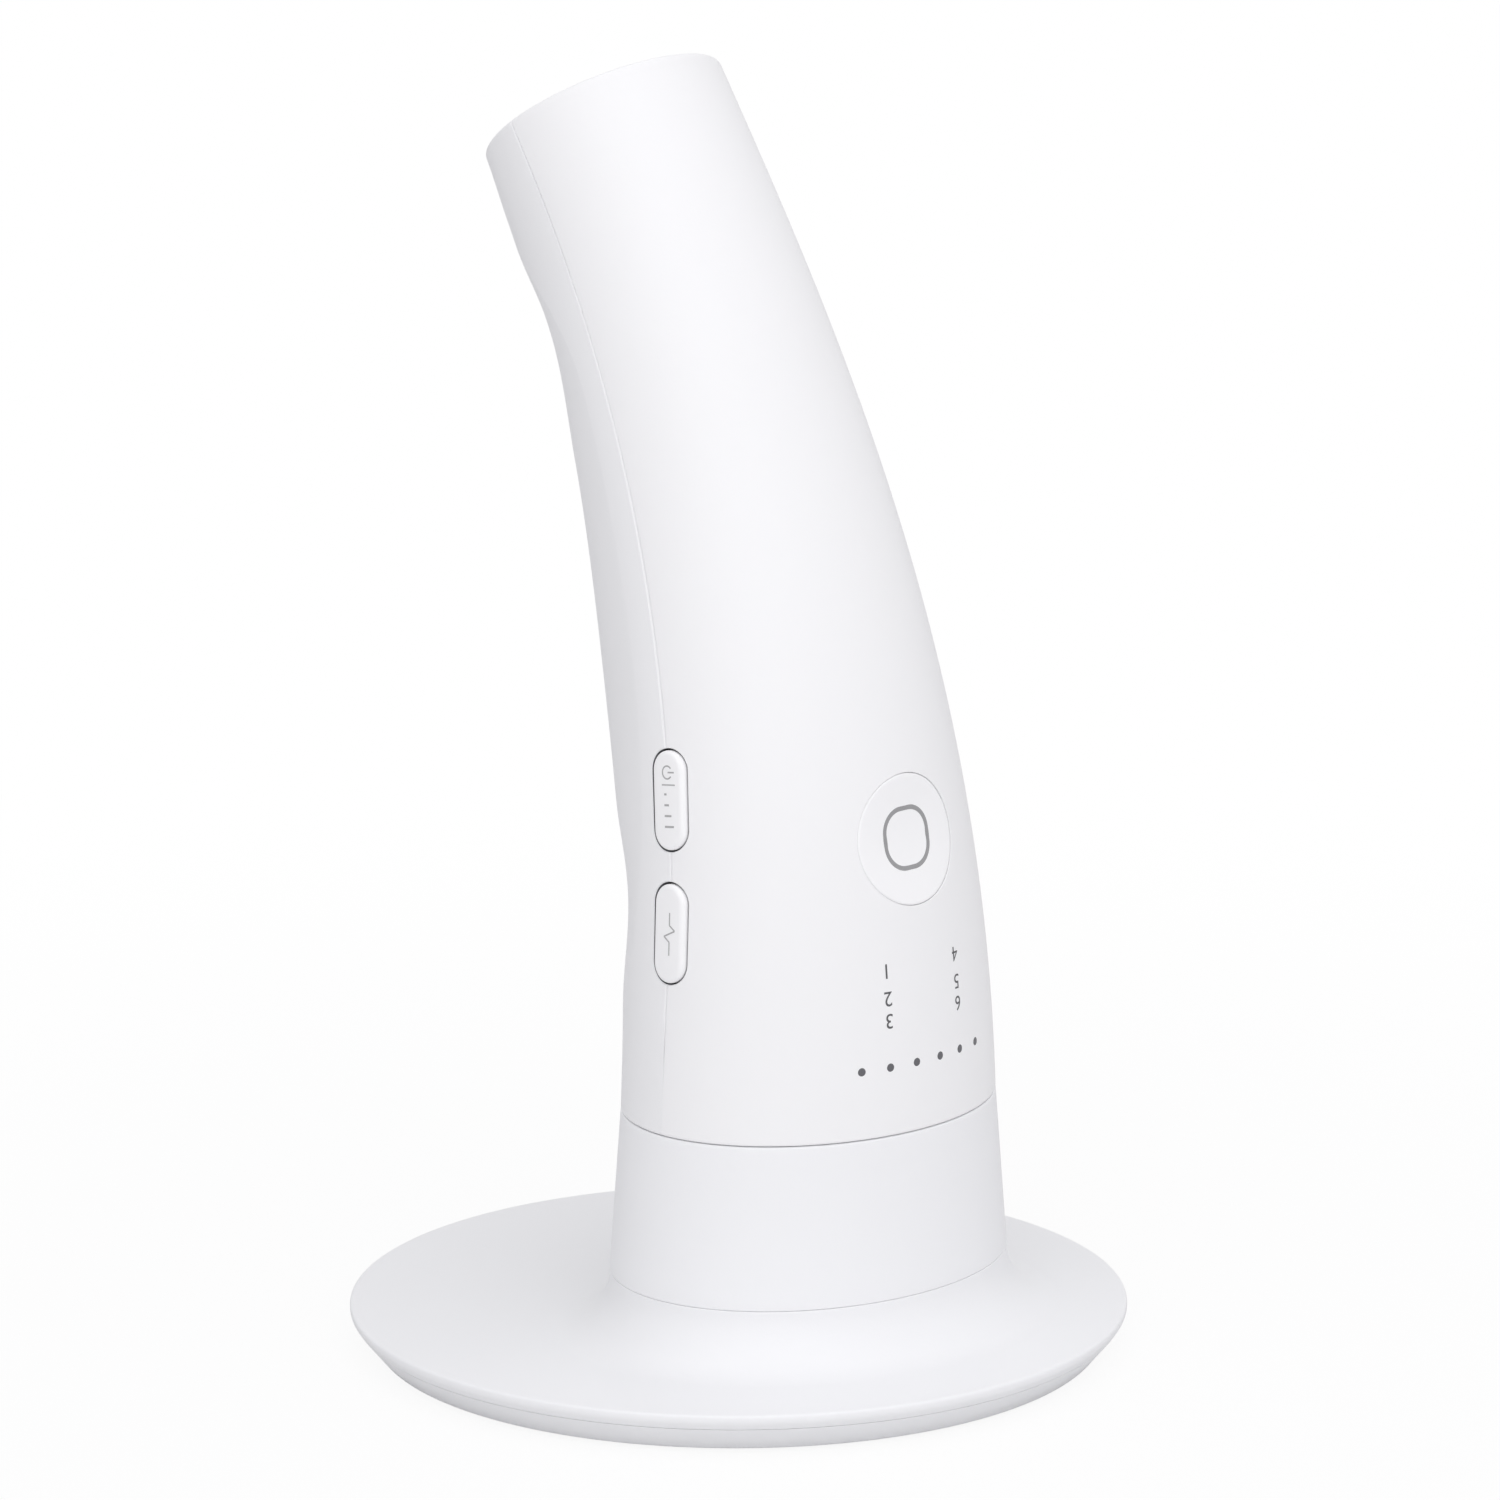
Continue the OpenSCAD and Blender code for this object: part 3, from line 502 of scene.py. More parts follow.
class Housing:
    """The body's middle line and the outline of each cross-section; u runs from seam to tail."""

    flash_at, power_at, ems_at, lights_at = 0.2597, 0.3227, 0.1965, 0.0627
    # A rule holds the factors of 1, u, u squared and u cubed, a reach where a hump is and its two lengths
    lean_rule, parting_rule = (0, 0.778, 1.022, -0.8), (0, 22.4, -21.2, 0)
    width_rule, depth_rule = (1, -0.257, -0.543, 0.42), (1, -0.092, -0.38, 0.223)
    swell_reach, low_reach, high_reach = (0.44, 0.4, 0.4), (0.21, 0.11, 0.11), (0.82, 0.15, 0.08)
    button_bend, bend_reach = 1.8, (0.12, 0.25, 0.16)

    def __init__(self):
        self.sizes = settings_of("handset")
        steps = 60
        step = self.sizes.body_length / steps
        lean = self.lean((np.arange(steps) + 0.5) / steps)
        front, base = -settings_of("stand").neck_forward, self.sizes.seam_height
        self.line_y = front + np.concatenate([[0], np.cumsum(step * np.sin(lean))])
        self.line_z = base + np.concatenate([[0], np.cumsum(step * np.cos(lean))])
        self.knots = np.arange(steps + 1) / steps

    def lean(self, u):
        return self.sizes.lean * cubic(u, *self.lean_rule)

    def half_width(self, u):
        return self.sizes.seam_width / 2 * cubic(u, *self.width_rule)

    def half_depth(self, u):
        return self.sizes.seam_depth / 2 * cubic(u, *self.depth_rule)

    def palm_depth(self, u):
        s = self.sizes
        return (self.half_depth(u) + s.palm_swell * hump(u, *self.swell_reach)
                - s.hollow_low * hump(u, *self.low_reach) - s.hollow_high * hump(u, *self.high_reach))

    def parting(self, u):
        """Angle of the parting line from the side to the front; it bends back under the side buttons."""
        return np.radians(cubic(u, *self.parting_rule) - self.button_bend * hump(u, *self.bend_reach))

    def crease(self, u):
        """Angle of the palm side's crease from the side; it climbs towards both ends."""
        to_tail, to_seam = np.maximum(0, (u - 0.72) / 0.125), np.maximum(0, (0.5 - u) / 0.33)
        return np.radians(np.minimum(60, 8 + 16 * to_tail ** 2 + 13 * to_seam ** 3))

    def crease_turn(self, u):
        """How sharply the surface turns at the crease, which fades out towards both ends."""
        return math.radians(9) * ease((u - 0.1) / 0.22) * ease((0.91 - u) / 0.04)

    def at(self, u, x, q):
        """The point at x across and q to the rear of the middle line."""
        y, z = np.interp(u, self.knots, self.line_y), np.interp(u, self.knots, self.line_z)
        a = self.lean(u)
        return np.stack(np.broadcast_arrays(x, y + q * np.cos(a), z - q * np.sin(a)), -1)

    def front(self, u, angle, inset=0.0):
        """The front surface, by the angle from the -X side round the front."""
        a, b = self.half_width(u) - inset, self.half_depth(u) - inset
        return self.at(u, -a * np.cos(angle), -b * np.sin(angle))

    def palm(self, u, side, arc, inset=0.0):
        """The palm surface on the -X half, as x across and distance to the rear: side runs from 0 to 1 up to
        the crease, and arc from 0 to 1 from there to the middle."""
        a, b, c = self.half_width(u) - inset, self.half_depth(u) - inset, self.crease(u)
        start = c + self.crease_turn(u)
        xa = a * np.cos(c) / np.cos(start)
        depth = self.palm_depth(u) - inset
        e = (depth - b * np.sin(c)) / (1 - np.sin(start))
        t, s = c * side, start + (math.pi / 2 - start) * arc
        x = np.where(arc <= 0, -a * np.cos(t), -xa * np.cos(s))
        return x, np.where(arc <= 0, b * np.sin(t), depth - e + e * np.sin(s))

    def section(self, u):
        """A frame inside the body: x across, y to the rear and z along the middle line."""
        c, s = math.cos(self.lean(u)), math.sin(self.lean(u))
        return Frame(self.at(u, 0.0, 0.0), np.array([[1, 0, 0], [0, c, -s], [0, s, c]]))

    def side_spots(self):
        """The places of the power and ems buttons: on the parting line, turned along the row of buttons."""
        return [Spot(self, u, float(self.parting(u)), math.radians(-3)) for u in (self.power_at, self.ems_at)]

    def flash_spot(self):
        return Spot(self, self.flash_at, math.pi / 2)


class Frame:
    """An origin and three axes."""

    def __init__(self, origin, axes):
        self.origin, self.axes = origin, axes

    def out(self, points):
        """Local points in the object's frame."""
        return np.asarray(points) @ self.axes + self.origin

    def solid(self, rows):
        """A closed mesh through rows of local points."""
        points, faces = stacked(rows)
        return plain_mesh(self.out(points), faces)


class Spot(Frame):
    """A place on the front surface: x across, y up the body and z out of it."""

    def __init__(self, body, u, angle, turn=0.0):
        self.body, self.u, self.angle = body, u, angle
        up = body.front(u + 0.01, angle) - body.front(u - 0.01, angle)
        across = body.front(u, angle + 0.017) - body.front(u, angle - 0.017)
        up = up / np.linalg.norm(up)
        out = np.cross(across, up)
        out = out / np.linalg.norm(out)
        side, c, s = np.cross(up, out), math.cos(turn), math.sin(turn)
        super().__init__(body.front(u, angle), np.stack([side * c + up * s, up * c - side * s, out]))

    def height(self, x, y):
        """How far the front surface lies along z, for local x and y, by Newton's steps."""
        front = lambda u, angle: (self.body.front(u, angle) - self.origin) @ self.axes.T
        u = self.u + y / self.body.sizes.body_length
        angle = self.angle + x / self.body.half_width(self.u)
        small = 1e-4
        for _ in range(12):
            here = front(u, angle)
            du = (front(u + small, angle) - front(u - small, angle)) / (2 * small)
            da = (front(u, angle + small) - front(u, angle - small)) / (2 * small)
            ex, ey = x - here[..., 0], y - here[..., 1]
            det = da[..., 0] * du[..., 1] - da[..., 1] * du[..., 0]
            angle = angle + (ex * du[..., 1] - ey * du[..., 0]) / det
            u = u + (ey * da[..., 0] - ex * da[..., 1]) / det
        return front(u, angle)[..., 2]


def edge_inset(distance, radius):
    """How far a rounded edge falls back, at a distance from the edge."""
    d = np.clip(distance, 0, radius)
    return radius - np.sqrt(np.maximum(0, radius ** 2 - (radius - d) ** 2))


def near_ends(count, reach):
    """Even steps from 0 to 1 with extra ones packed near the ends."""
    even = np.linspace(0, 1, count)
    packed = reach * np.array([0.04, 0.12, 0.25, 0.45, 0.7, 1.0])
    steps = [even[(even > reach) & (even < 1 - reach)], [0.0, 1.0], packed, 1 - packed]
    return np.unique(np.concatenate(steps))


# Roundings of the halves' edges, and how far the palm half draws in at the tail
EDGE, TAIL_EDGE, TAIL_STEP = 0.35 * MM, 0.7 * MM, 0.35 * MM


def housing_half(body, front):
    """One half of the housing as a closed mesh: each ring runs along the outer line and back the inner."""
    s = body.sizes
    u = near_ends(count=230, reach=2 * EDGE / s.body_length)[:, None]
    gap = s.parting_gap / s.seam_width
    ends = edge_inset(u * s.body_length, EDGE) + edge_inset((1 - u) * s.body_length, TAIL_EDGE)
    parting = body.parting(u)
    if front:
        low, high = parting + gap, math.pi - parting - gap
        t = near_ends(count=150, reach=0.012)[None, :]
        angle = high + (low - high) * t
        edge = np.minimum(t, 1 - t) * (high - low) * s.seam_width / 2
        outer = body.front(u, angle, ends + edge_inset(edge, EDGE))
        inner = body.front(u, angle, s.wall)
    else:
        side = np.concatenate([[0.0, 0.05, 0.12, 0.22], np.linspace(0.35, 1, 16)])
        arc = np.linspace(0, 1, 54)[1:]
        along_side = np.concatenate([side, np.ones(len(arc))])[None, :]
        along_arc = np.concatenate([np.zeros(len(side)), arc])[None, :]
        edge, mirror = parting - gap, np.array([-1, 1, 1])
        to_parting = np.array([0.0, 0.15, 0.4, 0.7])[None, :]

        def line(inset, rounded):
            drawn_in = TAIL_STEP * ease((u - 0.93) / 0.07) * rounded
            half = body.at(u, *body.palm(u, along_side, along_arc, inset + drawn_in * along_side))
            falls = inset + edge_inset(to_parting * edge * s.seam_width / 2, EDGE) * rounded
            left = body.front(u, edge * (1 - to_parting), falls)
            return np.concatenate([left, half, half[:, -2::-1] * mirror, left[:, ::-1] * mirror], 1)
        outer, inner = line(ends, 1.0), line(s.wall, 0.0)
    rings = np.concatenate([outer, inner[:, ::-1]], 1)
    rows, ring = rings.shape[:2]
    k = np.arange(ring // 2 - 1)
    end = np.stack([k, ring - 1 - k, ring - 2 - k, k + 1], -1)
    faces = np.concatenate([sides(rows, ring), end, end[:, ::-1] + (rows - 1) * ring])
    return plain_mesh(rings.reshape(-1, 3), faces)


# Rings of ovals: a node tree for the stand, its cover, the liner, the head cap and the tail's end plate

def oval_rings_tree():
    """Lofts a closed surface through ovals. Each point of the incoming profile is one ring: its place
    holds the half width, the half depth and the height, and its attributes the shift to the rear and the
    squareness."""
    sockets = {"Profile": "Geometry", "Rings": "Int", "Columns": "Int", "Finish": "Material"}
    g, (profile, rings, columns, finish) = open_tree("oval_rings", "Shell", sockets)
    grid = g.node("GeometryNodeMeshGrid", None, {"Size X": rings - 1, "Size Y": columns * 1.0,
                                                 "Vertices X": rings, "Vertices Y": columns + 1})[0]
    where = g.node("GeometryNodeInputPosition")[0]
    x, y, _ = g.node("ShaderNodeSeparateXYZ", None, {0: where})
    row = (x + (rings - 1) / 2).round()
    turn = (y / columns + 0.5) * (2 * math.pi)

    def of_ring(kind, field):
        return g.output("Value", "GeometryNodeSampleIndex", {"data_type": kind},
                        {"Geometry": profile, "Value": field, "Index": row})

    half_width, half_depth, height = g.node("ShaderNodeSeparateXYZ", None,
                                            {0: of_ring("FLOAT_VECTOR", where)})
    shift, square = (of_ring("FLOAT", g.output("Attribute", "GeometryNodeInputNamedAttribute",
                                               {"data_type": "FLOAT"}, {"Name": name}))
                     for name in ("shift", "square"))
    across, along = turn.cos(), turn.sin()
    place = g.point(half_width * across.sign() * abs(across) ** square,
                    half_depth * along.sign() * abs(along) ** square + shift, height)
    moved = g.node("GeometryNodeSetPosition", None, {"Geometry": grid, "Position": place})[0]
    merged = g.node("GeometryNodeMergeByDistance", None, {"Geometry": moved, "Distance": 2e-6})[0]
    return close_tree(g, merged, finish)


def rounded_profile(points):
    """Rounds the corners of a profile, whose points are (half width, half depth, height, shift, squareness,
    rounding)."""
    places = [np.array(p[:5], float) for p in points]
    rows = places[:1]
    for before, here, after, point in zip(places, places[1:], places[2:], points[1:]):
        into, out = before - here, after - here
        length_in, length_out = (np.linalg.norm(way[[0, 2]]) for way in (into, out))
        radius = min(point[5], length_in * 0.45, length_out * 0.45)
        if radius <= 0:
            rows.append(here)
            continue
        start, end = here + into * (radius / length_in), here + out * (radius / length_out)
        for t in np.arange(6) / 5:
            rows.append((1 - t) ** 2 * start + 2 * t * (1 - t) * here + t * t * end)
    return rows + places[-1:]


def ringed_mesh(profile, finish, columns):
    """A mesh through the rings of a profile in millimetres, with its corners rounded."""
    rings = rounded_profile(profile)
    mesh = bpy.data.meshes.new("profile")
    mesh.from_pydata([(a * MM, b * MM, z * MM) for a, b, z, _, _ in rings], [], [])
    for key, column, scale in (("shift", 3, MM), ("square", 4, 1)):
        values = [ring[column] * scale for ring in rings]
        mesh.attributes.new(key, "FLOAT", "POINT").data.foreach_set("value", values)
    tree = bpy.data.node_groups.get("oval_rings") or oval_rings_tree()
    inputs = {"Rings": len(rings), "Columns": columns, "Finish": finishes[finish]}
    return tidied(run_tree(linked("profile", mesh), tree, inputs))


def ringed_piece(name, profile, finish, body, node, columns=320, cutters=()):
    mesh = ringed_mesh(profile, finish, columns)
    finish_piece(name, cut(mesh, cutters) if cutters else mesh, finish, body, (node,))


# Pieces

def neck_oval():
    """Half width, half depth and middle of the neck's top edge, in millimetres."""
    s = settings_of("stand")
    return s.neck_width / MM / 2, s.neck_depth / MM / 2, -s.neck_forward / MM


def recesses(count, first, ring, radius, depth):
    """Cutters for round recesses in the stand's underside, on a ring round its middle."""
    points, faces = prism(circle(radius * MM, 64), -1 * MM, depth * MM)
    places = [Matrix.Rotation(math.radians(first + 360 / count * i), 4, "Z") @ Vector((ring * MM, 0, 0))
              for i in range(count)]
    return [plain_mesh(points + np.array(p), faces) for p in places]


def make_stand():
    """The stand's top shell, its cover with the recesses for feet and screws, and the socket's liner."""
    s = settings_of("stand")
    a, b, c = neck_oval()
    r, foot, z, top, plate, fillet, lip, floor = (v / MM for v in (
        s.disc_diameter / 2, s.foot_diameter / 2, s.rim_height, s.neck_top, s.plate_height, s.neck_fillet,
        s.lip, s.socket_floor))
    parting, below_rim, steps = 4.4, 0.6, 24
    rim_low, rim_high, rim_in = z - 0.35, z + 0.75, r - 0.9
    slope = (r - foot) / (z - below_rim)

    # Rings of the disc, of its chamfered underside and of the neck
    def disc(radius, height, rounding=0):
        return radius, radius, height, 0, 1, rounding

    def chamfer(height, inset, rounding):
        return disc(foot + slope * height - inset, height, rounding)

    def neck(grown, height, rounding=0):
        return a + grown, b + grown, height, c, 1, rounding

    shell = [disc(0, parting), chamfer(parting, 0, 0.12), disc(r, rim_low, 0.5),
             disc(r - 0.05, rim_high, 1.1)]
    for t in 1 - np.arange(1, steps + 1) / steps:
        shell.append((a + fillet + (rim_in - a - fillet) * t, b + fillet + (rim_in - b - fillet) * t,
                      plate + (rim_high - plate) * t, c * (1 - t), 1, 0))
    for t in math.pi / 2 * (1 - np.arange(1, steps + 1) / steps):
        shell.append(neck(fillet * (1 - math.cos(t)), plate + fillet * (1 - math.sin(t))))
    shell += [neck(0, top, 0.3), neck(-lip, top, 0.3), neck(-lip, floor, 0.2), (0, 0, floor, c, 1, 0)]
    ringed_piece("stand_top", shell, "stand_plastic", "stand", "base_shell")

    low, high, ceiling, wall = 0.4, parting - 0.06, 2.2, 2
    cover = [disc(0, ceiling), chamfer(ceiling, wall, 0.3), chamfer(high, wall, 0.1), chamfer(high, 0, 0.12),
             chamfer(low, 0, 0.4), disc(0, low)]
    cutters = (recesses(count=4, first=45, ring=44, radius=6.15, depth=1.6)
               + recesses(count=3, first=90, ring=32, radius=3.0, depth=2.1))
    ringed_piece("stand_cover", cover, "stand_plastic", "stand", "bottom_cover", cutters=cutters)

    gap, wall, bottom = 0.1, 1.4, 1.2
    outer, low, high = -lip - gap, floor + gap, top - 0.8
    liner = [(0, 0, low, c, 1, 0), neck(outer, low, 0.6), neck(outer, high, 0.5),
             neck(outer - wall, high, 0.5), neck(outer - wall, low + bottom, 0.5),
             (0, 0, low + bottom, c, 1, 0)]
    ringed_piece("socket_lining", liner, "liner", "stand", "socket_liner", 192)


def make_head_cap():
    """The collar with its spigot, ledge and window opening."""
    s, h = settings_of("stand"), settings_of("handset")
    a, b, c = neck_oval()
    top, seam = s.neck_top / MM, h.seam_height / MM
    low, high = top + 0.04, seam - h.seam_gap / MM
    drop = (high - top) / (seam - top)
    ta, tb = a + (h.seam_width / MM / 2 - a) * drop, b + (h.seam_depth / MM / 2 - b) * drop
    wall, spigot_wall, liner_room, ledge = 2.4, 2.2, 2, low + 2
    bottom, floor = 8.0, 10.1

    # Rings of the window's opening, of the spigot and of the collar, whose t runs from its lower edge up
    def window(height, rounding=0):
        return 18.5, 7.5, height, c, 0.3, rounding

    def spigot(inset, height, rounding=0):
        inset += s.lip / MM + liner_room
        return a - inset, b - inset, height, c, 1, rounding

    def collar(t, inset, height, rounding=0):
        return a + (ta - a) * t - inset, b + (tb - b) * t - inset, height, c, 1, rounding

    points = [window(floor), window(bottom, 0.3), spigot(6, bottom), spigot(0, bottom, 0.8),
              spigot(0, low, 0.2), collar(0, 0, low, 0.2)]
    points += [collar(t, 0, low + (high - low) * t) for t in np.arange(1, 12) / 12]
    points += [collar(1, 0, high, 0.35), collar(1, wall, high, 0.3), collar(0.08, wall, ledge, 0.4),
               spigot(spigot_wall, ledge, 0.4), spigot(spigot_wall, floor, 0.5), spigot(6, floor),
               window(floor)]
    ringed_piece("head_collar", points, "stand_plastic", "cap", "head_cap")


def opening(spot, outline, grown, bevel):
    """A cutter for a button's opening, with a narrow bevel where it meets the surface."""
    deep, high, proud = -8 * MM, 4 * MM, 0.02 * MM
    edge = level(outline, spot.height(*outline.T) - bevel)
    rim = level(grown, spot.height(*grown.T) + proud)
    return spot.solid([level(outline, deep), edge, rim, level(grown, high)])


def button_cutters(body, with_flash):
    h = body.sizes
    bevel, gap = 0.16 * MM, 2 * h.button_gap
    width, height = h.side_width + gap, h.side_length + gap
    outline, grown = stadium(width, height), stadium(width + 2 * bevel, height + 2 * bevel)
    cutters = [opening(spot, outline, grown, bevel) for spot in body.side_spots()]
    if with_flash:
        r, bevel = h.flash_diameter / 2 + h.flash_gap, 0.08 * MM
        cutters.append(opening(body.flash_spot(), circle(r, 192), circle(r + bevel, 192), bevel))
    return cutters


def paint_shade_on_walls(mesh, body):
    """Gives the walls of the side buttons' openings a dark finish that is painted shade, for a gap that no
    light reaches.
    """
    h = body.sizes
    centre, normal = (np.empty(len(mesh.polygons) * 3) for _ in range(2))
    mesh.polygons.foreach_get("center", centre)
    mesh.polygons.foreach_get("normal", normal)
    shaded = np.zeros(len(mesh.polygons), int)
    reach = np.array([h.side_width, h.side_length, 6 * MM]) / 2 + 1.5 * h.button_gap
    for spot in body.side_spots():
        near = (abs((centre.reshape(-1, 3) - spot.origin) @ spot.axes.T) < reach).all(1)
        shaded[near & (abs(normal.reshape(-1, 3) @ spot.axes[2]) < 0.3)] = 1
    mesh.materials.append(finishes["gap_shade"])
    mesh.polygons.foreach_set("material_index", shaded)


def make_housing():
    """Both halves of the leaning housing, with the openings for the buttons."""
    body = Housing()
    for name, front, node, finish in (("front_housing", True, "front_shell", "body_plastic"),
                                      ("palm_housing", False, "rear_shell", "palm_plastic")):
        mesh = cut(housing_half(body, front), button_cutters(body, front))
        finish_piece(name, mesh, finish, "handset", (node,), 32)
        paint_shade_on_walls(mesh, body)


def slot_row_tree():
    """A row of upright slots whose length falls off towards the ends."""
    sockets = {"Slot": "Geometry", "Count": "Int", "Pitch": "Float", "Taper": "Float", "Finish": "Material"}
    g, (slot, count, pitch, taper, finish) = open_tree("slot_row", "Slots", sockets)
    row = g.node("GeometryNodeMeshLine", {"mode": "OFFSET"}, {
        "Count": count, "Start Location": g.point((count - 1) * pitch * -0.5), "Offset": g.point(pitch)})[0]
    index = g.node("GeometryNodeInputIndex")[0]
    size = g.point(1.0, 1 - abs(index - (count - 1) / 2) * taper, 1.0)
    placed = g.node("GeometryNodeInstanceOnPoints", None, {"Points": row, "Instance": slot, "Scale": size})[0]
    return close_tree(g, placed, finish)


def make_tail():
    """The end plate with its exhaust slots and the hole for the inlet."""
    body = Housing()
    inset, low, high = body.sizes.wall / MM + 0.15, -2.5, -0.5
    a, b = (float(half(1.0)) / MM - inset for half in (body.half_width, body.half_depth))
    plate = [(0, 0, low, 0, 1, 0), (a, b, low, 0, 1, 0.1), (a, b, high, 0, 1, 0.35), (0, 0, high, 0, 1, 0)]
    plate = ringed_mesh(plate, "body_plastic", 192)

    outline, deep, proud = stadium(width=1.5 * MM, height=10 * MM, steps=12), -4 * MM, 1 * MM
    slot = linked("slot", plain_mesh(*prism(outline, deep, proud)))
    slots = run_tree(slot, slot_row_tree(), {"Count": 7, "Pitch": 3.2 * MM, "Taper": 0.09,
                                             "Finish": finishes["body_plastic"]})
    slots.transform(Matrix.Translation((0, -6.5 * MM, 0)))
    inlet = plain_mesh(*prism(circle(radius=4 * MM, steps=96) + (0, 5 * MM), deep, proud))
    mesh = cut(plate, [slots, inlet])
    move_points(mesh, body.section(1.0).out)
    finish_piece("tail_plate", mesh, "body_plastic", "handset", ("tail_cap",))


def flash_face(spot, outline, lift):
    """An outline on the flash button's face: the body's curve, dished towards the middle."""
    h = spot.body.sizes
    x, y = outline.T
    share_out = (x * x + y * y) / (h.flash_diameter / 2) ** 2
    return level(outline, spot.height(x, y) - h.flash_dish * np.maximum(0, 1 - share_out) ** 1.2 + lift)


def make_flash_button():
    """The round button that follows the body's curve, and the ring on its face."""
    spot = Housing().flash_spot()
    radius, steps, deep = spot.body.sizes.flash_diameter / 2, 192, -4.4 * MM
    rows = [level(circle(radius, steps), deep)]
    for d in np.concatenate([EDGE * np.array([0, 0.05, 0.15, 0.35, 0.6, 1.0]),
                             np.linspace(EDGE, radius, 60)[1:-1]]):
        rows.append(flash_face(spot, circle(radius - d, steps), -edge_inset(d, EDGE)))
    finish_piece("flash_key_top", spot.solid(rows), "button_plastic", "flash_key",
                 ("flash_button",), 40)

    side, corner, width, above = 9.7 * MM, 4.0 * MM, 0.8 * MM, 0.2 * MM
    proud, sunk, under = 0.03 * MM, 0.01 * MM, -0.3 * MM
    section = [(t, proud * (1 - (2 * t - 1) ** 4) - sunk) for t in np.linspace(0, 1, 9)]
    rows = [flash_face(spot, rounded_square(side - 2 * width * t, corner - width * t) + (0, above), lift)
            for t, lift in section + [(1, under), (0, under)]]
    mesh = plain_mesh(spot.out(np.concatenate(rows)), sides(len(rows), len(rows[0]), True))
    finish_piece("flash_key_ring", mesh, "printed_grey", "flash_key", ("button_ring",))


def side_key_height(x, inset=1.0):
    """Height of a side button's face: a soft dome that stands prouder and rounder on the front side."""
    proud, slope, dome, edge = 0.5 * MM, 0.09, 26 * MM, 0.6 * MM
    return proud + slope * x - x * x / (2 * dome) - edge_inset(inset, edge + slope * x)


def make_side_buttons():
    """The two stadium-shaped buttons on the parting line, with a plain sign on each."""
    body = Housing()
    width, height = body.sizes.side_width - 0.3 * MM, body.sizes.side_length - 0.2 * MM
    beside = (0.15 * MM, 0)      # the gap is wider on the palm side
    edge, deep, lift = 0.9 * MM, -4.2 * MM, 0.015 * MM
    for name, spot, sign in zip(("power", "ems"), body.side_spots(), (power_sign(), pulse_sign())):
        rows = [level(stadium(width, height, 40) + beside, deep)]
        for d in np.concatenate([edge * np.array([0, 0.02, 0.05, 0.1, 0.18, 0.3, 0.5, 0.7, 1.0]),
                                 np.linspace(edge, width / 2, 14)[1:-1]]):
            outline = stadium(width - 2 * d, height - 2 * d, 40) + beside
            rows.append(level(outline, side_key_height(outline[:, 0], d)))
        finish_piece(name + "_key_top", spot.solid(rows), "button_plastic", name + "_key",
                     (name + "_button",))
        prints = [(spot.out(level(p, side_key_height(p[:, 0]) + lift)), f) for p, f in sign]
        flat_print(name + "_sign", prints, "pale_print", name + "_key")


def stroke(path, width=0.23):
    """A ribbon along a path in millimetres, as a flat outline in metres."""
    path = np.array(path, float)
    along = np.gradient(path, axis=0)
    along /= np.linalg.norm(along, axis=1)[:, None]
    across = np.column_stack([-along[:, 1], along[:, 0]]) * width / 2
    n = len(path)
    faces = [(i, n + i, n + i + 1, i + 1) for i in range(n - 1)]
    return np.concatenate([path + across, path - across]) * MM, faces


def bar(x0, y0, x1, y1, width=0.23):
    return stroke([(x0, y0), ((x0 + x1) / 2, (y0 + y1) / 2), (x1, y1)], width)


def power_sign():
    """A broken ring with a bar in its gap, a dividing line and four level bars, all read from the side."""
    radius, x, y = 0.95, 0.2, 4.15
    turn = np.radians(np.linspace(38, 322, 60))
    ring = stroke(np.column_stack([x + radius * np.cos(turn), y + radius * np.sin(turn)]))
    levels = [bar(-0.5, 0.9 - 1.6 * i, 0.45 * i, 0.9 - 1.6 * i, 0.3) for i in range(4)]
    return [ring, bar(0.35, y, 1.6, y), bar(-0.95, 2.3, 1.75, 2.3, 0.2)] + levels


def pulse_sign():
    """A flat line with one pulse in its middle."""
    corners = [(0.5, 3.2), (0.5, 1.3), (1.6, 0.55), (-0.65, -0.45), (0.5, -1.2), (0.5, -3.2)]
    return [bar(*a, *b) for a, b in zip(corners, corners[1:])]


def text_outline(words, height):
    """Flat filled lettering of a given height, centred on its own middle."""
    curve = bpy.data.curves.new("numeral", "FONT")
    curve.body = words
    curve.size = height / 0.72      # a numeral's height is this share of the font's size
    curve.align_x, curve.align_y, curve.fill_mode = "CENTER", "CENTER", "FRONT"
    mesh = evaluated(linked("numeral", curve))
    points = np.array([v.co[:2] for v in mesh.vertices])
    return points - (points.min(0) + points.max(0)) / 2, [tuple(p.vertices) for p in mesh.polygons]


def flat_print(name, groups, finish, body_name):
    """Joins flat prints, each with its points and faces, into one piece."""
    points, faces = [], []
    for some, some_faces in groups:
        start = len(points)
        points.extend(some)
        faces.extend([start + k for k in f] for f in some_faces)
    finish_piece(name, plain_mesh(points, faces), finish, body_name, sharp=None)


